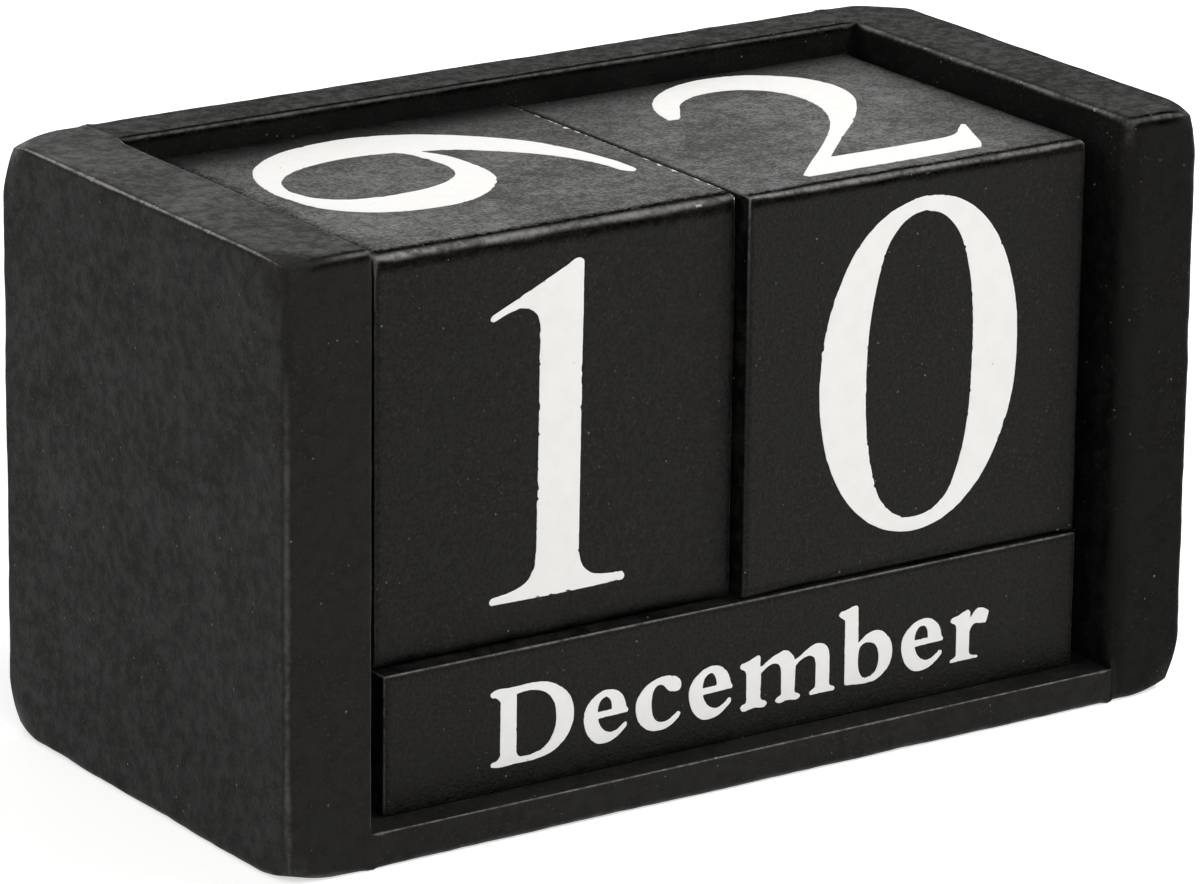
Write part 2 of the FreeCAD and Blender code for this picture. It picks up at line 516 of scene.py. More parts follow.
def add_object(name: str, data: Any) -> Any:
    """Add an object to the scene.

    Args:
        name: Name of the object.
        data: Its mesh, lamp or camera.

    Returns:
        The new object.
    """
    made = bpy.data.objects.new(name, data)
    bpy.context.scene.collection.objects.link(made)
    return made


# Wooden blocks


def graded(length: float, fine: float, coarse: float, zone: float) -> np.ndarray:
    """Return places along a length that crowd towards both ends.

    Args:
        length: The whole length.
        fine: First step at each end.
        coarse: Largest step in the middle.
        zone: How far from each end the steps keep growing.

    Returns:
        The places, from 0 to length.
    """
    near = [0.0]
    step = fine
    while near[-1] < zone and near[-1] + step < 0.5 * length - 0.5 * coarse:
        near.append(near[-1] + step)
        step = min(STEP_GROWTH * step, coarse)
    middle = length - 2.0 * near[-1]
    count = max(1, int(np.ceil(middle / coarse)))
    inner = near[-1] + middle * np.arange(1, count) / count
    return np.concatenate([near, inner, length - np.array(near[::-1])])


def step_between(values: np.ndarray, low: float, high: float) -> np.ndarray:
    """Turn values into a smooth step.

    Args:
        values: The values.
        low: Value that gives 0.
        high: Value that gives 1.

    Returns:
        The steps, as large an array as the values.
    """
    share = np.clip((values - low) / (high - low), 0.0, 1.0)
    return share * share * (3.0 - 2.0 * share)


def waves(points: np.ndarray, length: float, seed: Vector) -> np.ndarray:
    """Return smooth noise from -1 to 1 at points, with waves about length millimetres long."""
    return np.array([noise.noise(Vector(point) / length + seed) for point in points])


@dataclass
class Knock:
    """A corner of a block that was knocked soft across its diagonal.

    Attributes:
        sides: The three sides that meet there.
        amount: How much is gone along each side, in millimetres.
        radius: Radius of the flat's own edges.
    """

    sides: Tuple[Side, Side, Side]
    amount: float
    radius: float = 3.5


@dataclass
class Joint:
    """A side of a board that is glued to a neighbour, so that no gap shows there.

    Attributes:
        side: The glued side.
        neighbour: CAD node that it is glued to.
        overlap: How far the skin reaches into that neighbour, in millimetres.
    """

    side: Side
    neighbour: str
    overlap: float = 0.0


@dataclass
class Chip:
    """A corner of a block with more or less wear and painted highlight than its edges.

    Attributes:
        sides: The three sides that meet there.
        size: How far it reaches, in millimetres.
        amount: How much wear and painted highlight it adds, or takes away if it is negative.
    """

    sides: Tuple[Side, Side, Side]
    size: float
    amount: float


@dataclass
class PaintedBlock:
    """One painted block or board, skinned over the CAD node of the same name.

    Lengths are in millimetres. Tables by edge name only the edges that differ from the rest.

    Attributes:
        node: CAD node that the skin replaces.
        body: Body that it rides on.
        slot: Name of a material slot; not used.
        radius: Radius of its edges.
        radii: Radius of single edges.
        wear_and_highlight: How much wear and painted highlight single edges carry, from 0 to 1.
        painted_shade_lines: How dark and matt the painted shade lines along both sides of single edges are.
        flecks: How freely paint has flecked off single edges.
        reach: How far single sides stand out from the CAD node.
        knocks: Corners that are knocked soft.
        joints: Sides that are glued to a neighbour.
        chips: Corners with more or less wear and painted highlight than their edges.
        base_wear: Wear and painted highlight of all other edges.
        base_crease: Painted shade lines of all other edges.
        fringe: How far flecks reach in from their edge.
        coarse: Largest step of the mesh.
        fine: Step of the mesh at the edges.
        fine_zone: How far in from the edges the steps are graded.
        sink: How far the skin always lies inside the CAD node.
        swell: How far its unevenness takes it in from there.
        unevenness: Strengths and lengths of the waves in the edge radius.
        swells: Strengths and lengths of the waves in the flat faces.
        mark_drift: Strength and length of the waves in the lines along the edges.
        mark_depth: How far below a face the marks along its edges fade out.
        glue_fade: How far from a glued neighbour an edge is fully open again.
        blend: Distance over which the values of two edges blend.
    """

    node: str
    body: str
    slot: str
    radius: float
    radii: Dict[Edge, float] = field(default_factory=dict)
    wear_and_highlight: Dict[Edge, float] = field(default_factory=dict)
    painted_shade_lines: Dict[Edge, float] = field(default_factory=dict)
    flecks: Dict[Edge, float] = field(default_factory=dict)
    reach: Dict[Side, float] = field(default_factory=dict)
    knocks: Sequence[Knock] = ()
    joints: Sequence[Joint] = ()
    chips: Sequence[Chip] = ()
    base_wear: float = 0.12
    base_crease: float = 0.0
    fringe: float = 0.3
    coarse: float = 0.85
    fine: float = 0.11
    fine_zone: float = 7.0
    sink: float = 0.02
    swell: float = 0.05
    unevenness: Tuple[Point, Point] = ((0.28, 6.5), (0.12, 1.9))
    swells: Tuple[Point, Point] = ((0.7, 11.0), (0.3, 3.1))
    mark_drift: Point = (0.16, 1.7)
    mark_depth: float = 0.3
    glue_fade: float = 1.2
    blend: float = 0.9

    # Windows of the two painted shade lines along an edge, in edge radii from its middle: each comes up
    # between the first two numbers and goes down between the last two
    _line_above: ClassVar[Tuple[float, float, float, float]] = (-2.0, -0.75, -0.66, -0.42)
    _line_below: ClassVar[Tuple[float, float, float, float]] = (0.42, 0.66, 0.9, 1.8)

    def __post_init__(self) -> None:
        """Read the block's place from the CAD node and lay out its edge tables."""
        low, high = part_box(self.node)
        self.low = np.array(low) / MM
        self.high = np.array(high) / MM
        self.edge_radius = self._table(self.radii, self.radius)
        self.edge_wear = self._table(self.wear_and_highlight, self.base_wear)
        self.edge_crease = self._table(self.painted_shade_lines, self.base_crease)
        self.edge_flecks = self._table(self.flecks, 0.0)
        for side, length in self.reach.items():
            self._stretch(side, length)
        self.glued = []
        for joint in self.joints:
            near_low, near_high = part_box(joint.neighbour)
            self.glued.append((SIDES.index(joint.side), np.array(near_low) / MM, np.array(near_high) / MM))
            self._stretch(joint.side, joint.overlap)

    def _stretch(self, side: Side, length: float) -> None:
        """Move one side outwards by a length."""
        axis, sign = side.value
        (self.high if sign > 0 else self.low)[axis] += sign * length

    def _table(self, values: Dict[Edge, float], default: float) -> np.ndarray:
        """Spread values by edge over the twelve edges.

        Args:
            values: Values of single edges.
            default: Value of all other edges.

        Returns:
            One value for each edge.
        """
        table = np.full(len(EDGES), default)
        for (first, second), value in values.items():
            table[EDGES.index(tuple(sorted((SIDES.index(first), SIDES.index(second)))))] = value
        return table

    def outside(self, points: np.ndarray) -> np.ndarray:
        """Measure how far points lie outside each of the six side planes.

        Args:
            points: Places in millimetres.

        Returns:
            The distances, negative inside, one row for each place.
        """
        gaps = [
            (points[:, side.value[0]] - (self.high if side.value[1] > 0 else self.low)[side.value[0]])
            * side.value[1]
            for side in SIDES
        ]
        return np.stack(gaps, axis=1)

    def corner(self, sides: Sequence[Side]) -> Tuple[np.ndarray, np.ndarray]:
        """Return the corner where three sides meet, and its outward diagonal."""
        diagonal = sum(side.normal for side in sides)
        return np.where(diagonal > 0, self.high, self.low), diagonal

    def nearness(self, points: np.ndarray) -> np.ndarray:
        """Measure how near each point is to each of the twelve edges.

        Args:
            points: Places in millimetres.

        Returns:
            Shares of one, one row for each place.
        """
        gaps = self.outside(points)
        near = np.stack([gaps[:, i] + gaps[:, j] for i, j in EDGES], axis=1) / self.blend
        near = np.exp(near - near.max(axis=1, keepdims=True))
        return near / near.sum(axis=1, keepdims=True)

    def edge_values(self, table: np.ndarray, points: np.ndarray, shut: float) -> np.ndarray:
        """Return edge values averaged by nearness to the edges.

        Args:
            table: One value for each edge.
            points: Places in millimetres.
            shut: Value of the edges that are closed by a glued neighbour.

        Returns:
            One value for each place.
        """
        near = self.nearness(points)
        values = near @ table
        for side, low, high in self.glued:
            closed = np.array([shut if side in edge else value for edge, value in zip(EDGES, table)])
            away = np.linalg.norm(np.maximum(np.maximum(low - points, points - high), 0.0), axis=1)
            share = step_between(away, 0.0, self.glue_fade)
            values = share * values + (1.0 - share) * (near @ closed)
        return values

    def edge_marks(self, points: np.ndarray) -> Tuple[np.ndarray, np.ndarray]:
        """Return the painted shade lines and the flecks of the paint at points near the edges.

        Args:
            points: Places in millimetres.

        Returns:
            The painted shade lines on both sides of an edge, and the flecks right on it.
        """
        gaps = self.outside(points)
        near = self.nearness(points)
        strength, length = self.mark_drift
        drift = strength * waves(points, length, Vector((3.0, 9.0, 4.0)))
        above_in, above_full, above_fade, above_out = self._line_above
        below_in, below_full, below_fade, below_out = self._line_below
        painted_shade_line = np.zeros(len(points))
        flecks = np.zeros(len(points))
        for k, (i, j) in enumerate(EDGES):
            skin_depth = 0.3 * self.edge_radius[k]
            across = (gaps[:, i] - gaps[:, j]) / max(self.edge_radius[k], 0.5) + drift
            away = np.minimum(-gaps[:, i], -gaps[:, j]) - skin_depth
            mask = self.edge_crease[k] * np.clip(1.0 - away / self.mark_depth, 0.0, 1.0)
            above = step_between(across, above_in, above_full)
            above = above * (1.0 - step_between(across, above_fade, above_out))
            below = step_between(across, below_in, below_full)
            below = below * (1.0 - step_between(across, below_fade, below_out))
            painted_shade_line = np.maximum(painted_shade_line, mask * (above + 0.85 * below))
            inward = np.maximum(-gaps[:, i], -gaps[:, j]) - skin_depth
            fringe = np.clip(1.0 - inward / self.fringe, 0.0, 1.0)
            flecks = np.maximum(flecks, near[:, k] * self.edge_flecks[k] * fringe)
        return painted_shade_line, flecks

    def form(self, points: np.ndarray, radius: np.ndarray) -> np.ndarray:
        """Return the distance of points outside the rounded block.

        Args:
            points: Places in millimetres.
            radius: Edge radius at each place.

        Returns:
            The distances, negative inside.
        """
        over = self.outside(points) + radius[:, None]
        shape = np.linalg.norm(np.maximum(over, 0.0), axis=1) + np.minimum(over.max(axis=1), 0.0) - radius
        for knock in self.knocks:
            corner, diagonal = self.corner(knock.sides)
            flat = ((points - corner) @ diagonal + knock.amount) / np.sqrt(3.0)
            both = np.stack([shape, flat], axis=1) + knock.radius
            shape = (
                np.linalg.norm(np.maximum(both, 0.0), axis=1)
                + np.minimum(both.max(axis=1), 0.0)
                - knock.radius
            )
        return shape

    def slope(self, points: np.ndarray, radius: np.ndarray) -> np.ndarray:
        """Find the form's outward directions.

        Args:
            points: Places in millimetres.
            radius: Edge radius at each place.

        Returns:
            One unit direction for each place.
        """
        step = 0.002
        parts = []
        for axis in range(3):
            shift = np.zeros(3)
            shift[axis] = step
            parts.append(self.form(points + shift, radius) - self.form(points - shift, radius))
        slope = np.stack(parts, axis=1)
        return slope / np.maximum(np.linalg.norm(slope, axis=1, keepdims=True), 1e-12)

    def lattice(self) -> Tuple[np.ndarray, np.ndarray]:
        """Lay a skin over the block before its edges are rounded.

        Returns:
            Its points and its quads, which face outwards.
        """
        size = self.high - self.low
        lines = [graded(length, self.fine, self.coarse, self.fine_zone) for length in size]
        counts = [len(line) for line in lines]
        index = np.full(counts, -1, dtype=int)
        shell = np.zeros(counts, dtype=bool)
        for axis in range(3):
            for end in (0, -1):
                cut = [slice(None)] * 3
                cut[axis] = end
                shell[tuple(cut)] = True
        where = np.argwhere(shell)
        index[shell] = np.arange(len(where))
        points = np.stack([lines[axis][where[:, axis]] for axis in range(3)], axis=1) + self.low
        quads = []
        for axis in range(3):
            for end, outward in ((0, -1), (-1, 1)):
                cut = [slice(None)] * 3
                cut[axis] = end
                grid = index[tuple(cut)]
                ring = [grid[:-1, :-1], grid[1:, :-1], grid[1:, 1:], grid[:-1, 1:]]
                if (outward > 0) == (axis == 1):
                    ring = ring[::-1]
                quads.append(np.stack([part.ravel() for part in ring], axis=1))
        return points, np.concatenate(quads)

    def rounded(self, points: np.ndarray) -> Tuple[np.ndarray, np.ndarray]:
        """Move points of the lattice onto the soft and slightly uneven form.

        Args:
            points: Places in millimetres.

        Returns:
            The moved points, and the form's outward direction at each of them.
        """
        # Each body has waves of its own
        seed = Vector((17.0 * (sum(map(ord, self.body)) % 11), 5.0, 3.0))
        uneven = 1.0
        for strength, length in self.unevenness:
            uneven = uneven + strength * waves(points, length, seed)
        for _ in range(ROUNDING_PASSES):
            radius = self.edge_values(self.edge_radius, points, SEAM_RADIUS) * uneven
            points = points - self.form(points, radius)[:, None] * self.slope(points, radius)
        out = self.slope(points, radius)
        swelling = sum(strength * waves(points, length, -seed) for strength, length in self.swells)
        return points - (self.sink + self.swell * (0.5 + 0.5 * swelling))[:, None] * out, out

    def paint_marks(self, points: np.ndarray, out: np.ndarray) -> Dict[str, np.ndarray]:
        """Work out where the paint carries wear and a painted highlight, where its painted shade lines run,
        and where it is flecked.

        Args:
            points: Places in millimetres.
            out: Outward direction at each place.

        Returns:
            One value for each place, by the names that the paint reads.
        """
        flatness = np.abs(out).max(axis=1)
        # Wear and painted highlight along the edges
        worn = self.edge_values(self.edge_wear, points, 0.0)
        for chip in self.chips:
            away = np.linalg.norm(points - self.corner(chip.sides)[0], axis=1)
            worn = np.maximum(worn + chip.amount * np.exp(-((away / chip.size) ** 2)), 0.0)
        painted_shade_line, flecks = self.edge_marks(points)
        open_share = self.edge_values(np.ones(len(EDGES)), points, 0.0)
        return {
            "edge": np.clip((1.0 - flatness) / (1.0 - np.sqrt(0.5)), 0.0, 1.0),
            "wear_and_highlight": worn,
            "painted_shade_line": painted_shade_line * open_share,
            "flecks": flecks * open_share,
        }

    def build(self, paint: Any) -> Any:
        """Make the skin and put it in the CAD node's place.

        Args:
            paint: Material of the block.

        Returns:
            The new object.
        """
        points, quads = self.lattice()
        points, out = self.rounded(points)
        mesh = bpy.data.meshes.new(self.node + "_skin")
        mesh.from_pydata((points * MM).tolist(), [], quads.tolist())
        mesh.shade_smooth()
        mesh.set_sharp_from_angle(angle=SHARP_TURN)
        for name, values in self.paint_marks(points, out).items():
            stored = mesh.attributes.new(name, "FLOAT", "POINT")
            stored.data.foreach_set("value", values.astype(np.float32))
        mesh.materials.append(paint)
        skin = add_object(self.node + "_skin", mesh)
        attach(skin, self.body)
        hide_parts(self.node)
        LOG.info("%s: %d points, %d faces", skin.name, len(points), len(quads))
        return skin


# Numerals and letters

# Outlines in millimetres. A star marks a corner, every other point is passed smoothly.
# Where one outline of a glyph lies inside another one it cuts a hole. A numeral's zero is the
# lower left corner of its face. A letter's zero lies on its baseline, and its first number is
# how far it is to the next letter.

NUMERALS: Dict[str, Tuple[str, ...]] = {
    "0": (
        "10.3,24 10.9,29.5 12.7,35 15.6,39.8 19.7,43 24.8,44.3 30,43.2 34,40 36.8,35 38.2,29.5 "
        "38.5,24.5 38,19 36.2,13.5 33.4,8.9 29.3,5.5 24.3,4.2 19.5,5.2 15.3,8.3 12.2,13.2 10.7,18.5",
        "16.9,24 17.4,31 18.5,36 20.3,40.2 22.4,42 24.7,42.6 27.2,41.9 29.4,39.8 31.1,35.5 31.9,30 "
        "32,24 31.6,17 30.4,11.5 28.4,7.6 26.2,6.2 24.1,5.9 21.7,6.5 19.6,8.3 18,12.3 17.1,17.5",
    ),
    "1": (
        "27.1,43.6 27.6,43.3* 27.5,35 27.3,15 27.25,9.2* 27.8,7.4 29,6.35 31.2,5.9 33.2,5.8* 33.5,5.3 "
        "33.3,4.8* 24,4.7 15.4,4.8* 15.2,5.2 15.4,5.65* 18.2,6 20.2,6.8 21.2,8.2 21.5,10.5* 21.65,20 "
        "21.8,36.4* 21.3,38 19.9,38.85 18,38.7 15.6,37.85* 15.15,38.1 15.4,38.6* 20,40.6 25,42.8",
    ),
    "2": (
        "11.2,32.4* 12.1,36.2 13.6,39.2 15.8,41.8 18.6,43.9 22.2,45.4 26,45.8 30,45.1 33.4,43 36,40 "
        "37.2,36.5 37.1,33 36.1,29.8 34.1,26.5 31.5,23.1 28.5,19.9 25,16.5 21.5,13 17.9,9.3* "
        "24,9.15 30,9.15 34.3,9.3* 36.3,10 38,11.7 39.4,13.1* 39.8,12.7* 38,8.7 36.3,5 35.4,3.8* "
        "23,3.65 10.9,3.7* 10.6,4.5* 14,8 18,11.9 22,16 25.5,20 28,23.6 29.7,27.5 30.4,31.3 "
        "30.2,34.6 28.9,37.4 26.4,39.5 23,40.3 19.6,39.7 16.7,37.8 14.6,34.9 12.8,32.2*",
    ),
    "3": (
        "11.9,33.8* 13.2,37.6 15.6,41.2 19.2,43.7 23.7,44.7 28.3,44 32,41.7 34,38.2 34.1,34.3 32.6,30.9 "
        "30,28.2 27,26.4* 31,24.9 34.4,22.1 36.3,18.3 36.5,14 34.9,9.9 31.6,6.5 27,4.3 21.6,3.6 16.4,4.1 "
        "12.3,5.5 10.3,7.4 10.2,9.5 11.8,10.8 14,10.6 16.2,9.3 18.6,7.5 21.4,6.4 24.6,6.9 27.3,8.9 "
        "29,12.1 29.4,15.9 28.3,19.5 25.7,22.2 21.9,23.6 18.2,24* 18.1,25.3* 21.5,26.5 24.8,28.8 "
        "26.9,31.9 27.5,35.5 26.4,38.8 23.7,40.9 20.4,41 17.3,39.1 14.9,36.1 13.2,33.3*",
    ),
    "4": (
        "31.7,44.4* 31.8,30 31.8,15.7* 38.6,15.6* 39,15.1 38.7,11.5* 31.8,11.4* 31.8,4.5* 25.4,4.3* "
        "25.3,11.4* 8.8,11.4* 8.3,14.7* 18,29.4 28.3,44.5*",
        "25.3,15.7* 12.6,15.6* 18.8,25.2 25.2,35.2*",
    ),
    "5": (
        "34.6,45.2* 35.2,44.8* 33.3,38.7* 25,38.5 17.4,38.5* 16.5,30.7* 19.8,31.6 23.7,31.5 28.3,30.1 "
        "32.2,27.1 34.8,22.9 35.5,17.9 34.2,12.9 31,8.4 26.4,5.2 21,3.8 15.7,4 11.7,5.3 9.9,7.2 10,9.3 "
        "11.6,10.5 13.8,10.2 16.1,8.8 18.7,7.1 21.5,6.3 24.6,7 27.1,9.3 28.6,13.1 28.8,17.6 27.6,21.9 "
        "25,24.9 21.4,26.1 17.6,25.8 14.2,24.4* 13.3,24.9* 14.5,34 15.7,43.7* 24,43.7 33.2,43.8*",
    ),
    "7": (
        "11.1,45.2* 12.1,44.1* 25,43.9 38.6,44* 38.9,42.8* 31,24 22.7,4.5* 19.4,4.2 16.2,4.5* 24.2,21.6 "
        "31.9,38.3* 23,38.5 17.2,38.4* 14.3,37.6 12.4,35.3 11.2,31.8* 10.2,31.9* 10.6,39",
    ),
    "8": (
        "23.8,44.6 28.9,43.7 32.6,41 34.1,37 33.4,33 31,29.6 28.3,27.1* 32.2,24.6 35.5,21 36.9,16.6 "
        "36.1,11.8 32.9,7.5 28.3,4.8 23.1,3.9 17.9,4.9 13.8,7.7 11.5,11.7 11.4,15.9 13.3,19.8 "
        "16.5,22.9 18.9,24.6* 15.5,27.6 13.5,31.2 13.1,35.1 14.5,39 17.5,42.3 20.5,44",
        "24.4,42.5 27,41 28.3,38 27.9,34.3 26.3,31.1 24.7,29* 21.6,31 19.1,33.8 18,37.1 18.9,40.4 21.4,42.2",
        "20.6,22.9* 24.6,20.5 28.3,17.3 30.6,13.4 30.3,9.4 27.6,6.7 23.8,5.8 19.9,7 17.3,10.1 16.5,14.1 "
        "17.6,18.5",
    ),
    "6": (
        "33.5,43.9 33.2,44.4 30.5,44.7 26.8,44.3 21.6,43.1 16.6,41 13.2,38.5 9.7,35 6.4,30 4.9,26 "
        "4.4,22 4.7,18 5.7,14 7.9,10 11.8,6.4 15.8,4.7 19.9,4 23.7,4.2 28,5.3 31.5,8 33.8,12 34.5,16 "
        "34.4,20 32.8,24 "
        "30.4,27 27.3,29.2 23.8,30 19.8,29.9 16.3,29.2 13.4,27.7* 14.8,31.2 17.8,35 21.3,38.5 25.3,41 "
        "29.3,42.5 32.9,43.25",
        "12.6,24.9* 11.9,22 11.7,18 12.3,14 13.8,10.2 16.6,7.3 20.3,6.1 23.8,6.8 26.2,8.9 27.4,12 "
        "27.7,16 27.3,20 26,23.5 23.8,26 20.8,27 16.8,26.6 13.4,25.7",
    ),
}

# Strokes that several letters share: heads and tails of short and tall stems, feet and an arch
SHORT_HEAD = "0,5.1 0.1,5.35 1.1,5.65 2.1,6.05 "
SHORT_TAIL = "0.9,4.1* 0.7,4.6 0.3,4.8"
TALL_HEAD = "0,8.95 0.15,9.2 1.15,9.45 2.35,9.75 2.75,9.65* "
TALL_TAIL = "0.9,8.05* 0.65,8.35 0.25,8.65"
SLIM_FOOT = (
    "2.85,1.1* 3,0.75 3.5,0.6 3.75,0.35 3.6,0.05* 1.9,0.1 0.15,0.05* 0.05,0.35 0.4,0.6 "
    "0.85,0.8 0.95,1.2* "
)
ARCH_HEAD = "0,5.25 0.05,5.5 1.05,5.8 2.05,6.15 2.65,6.3 2.85,6.15* "
ARCH_TAIL = "0.9,4.4* 0.65,4.8 0.25,5"
ARCH = (
    "2.85,4.8* 3.65,5.25 4.55,5.75 5.45,6.05 6.3,6.2 7.05,5.95 7.55,5.4 7.75,4.6 7.8,3.8 7.8,1.1* "
    "7.95,0.8 8.4,0.6 8.6,0.4 8.45,0.05* 6.7,0.1 5.1,0.05* 5,0.4 5.3,0.65 5.75,0.9 5.85,1.3* "
)
ARCH_FOOT = (
    "5.8,3.8* 5.55,4.55 4.95,4.9 4.25,4.85 3.55,4.5 3,4.1* 2.9,1.2* 3.15,0.8 3.65,0.6 3.85,0.3 "
    "3.65,0 2.05,0.05 0.25,0 0.1,0.3 0.35,0.6 0.85,0.8 0.95,1.2* "
)

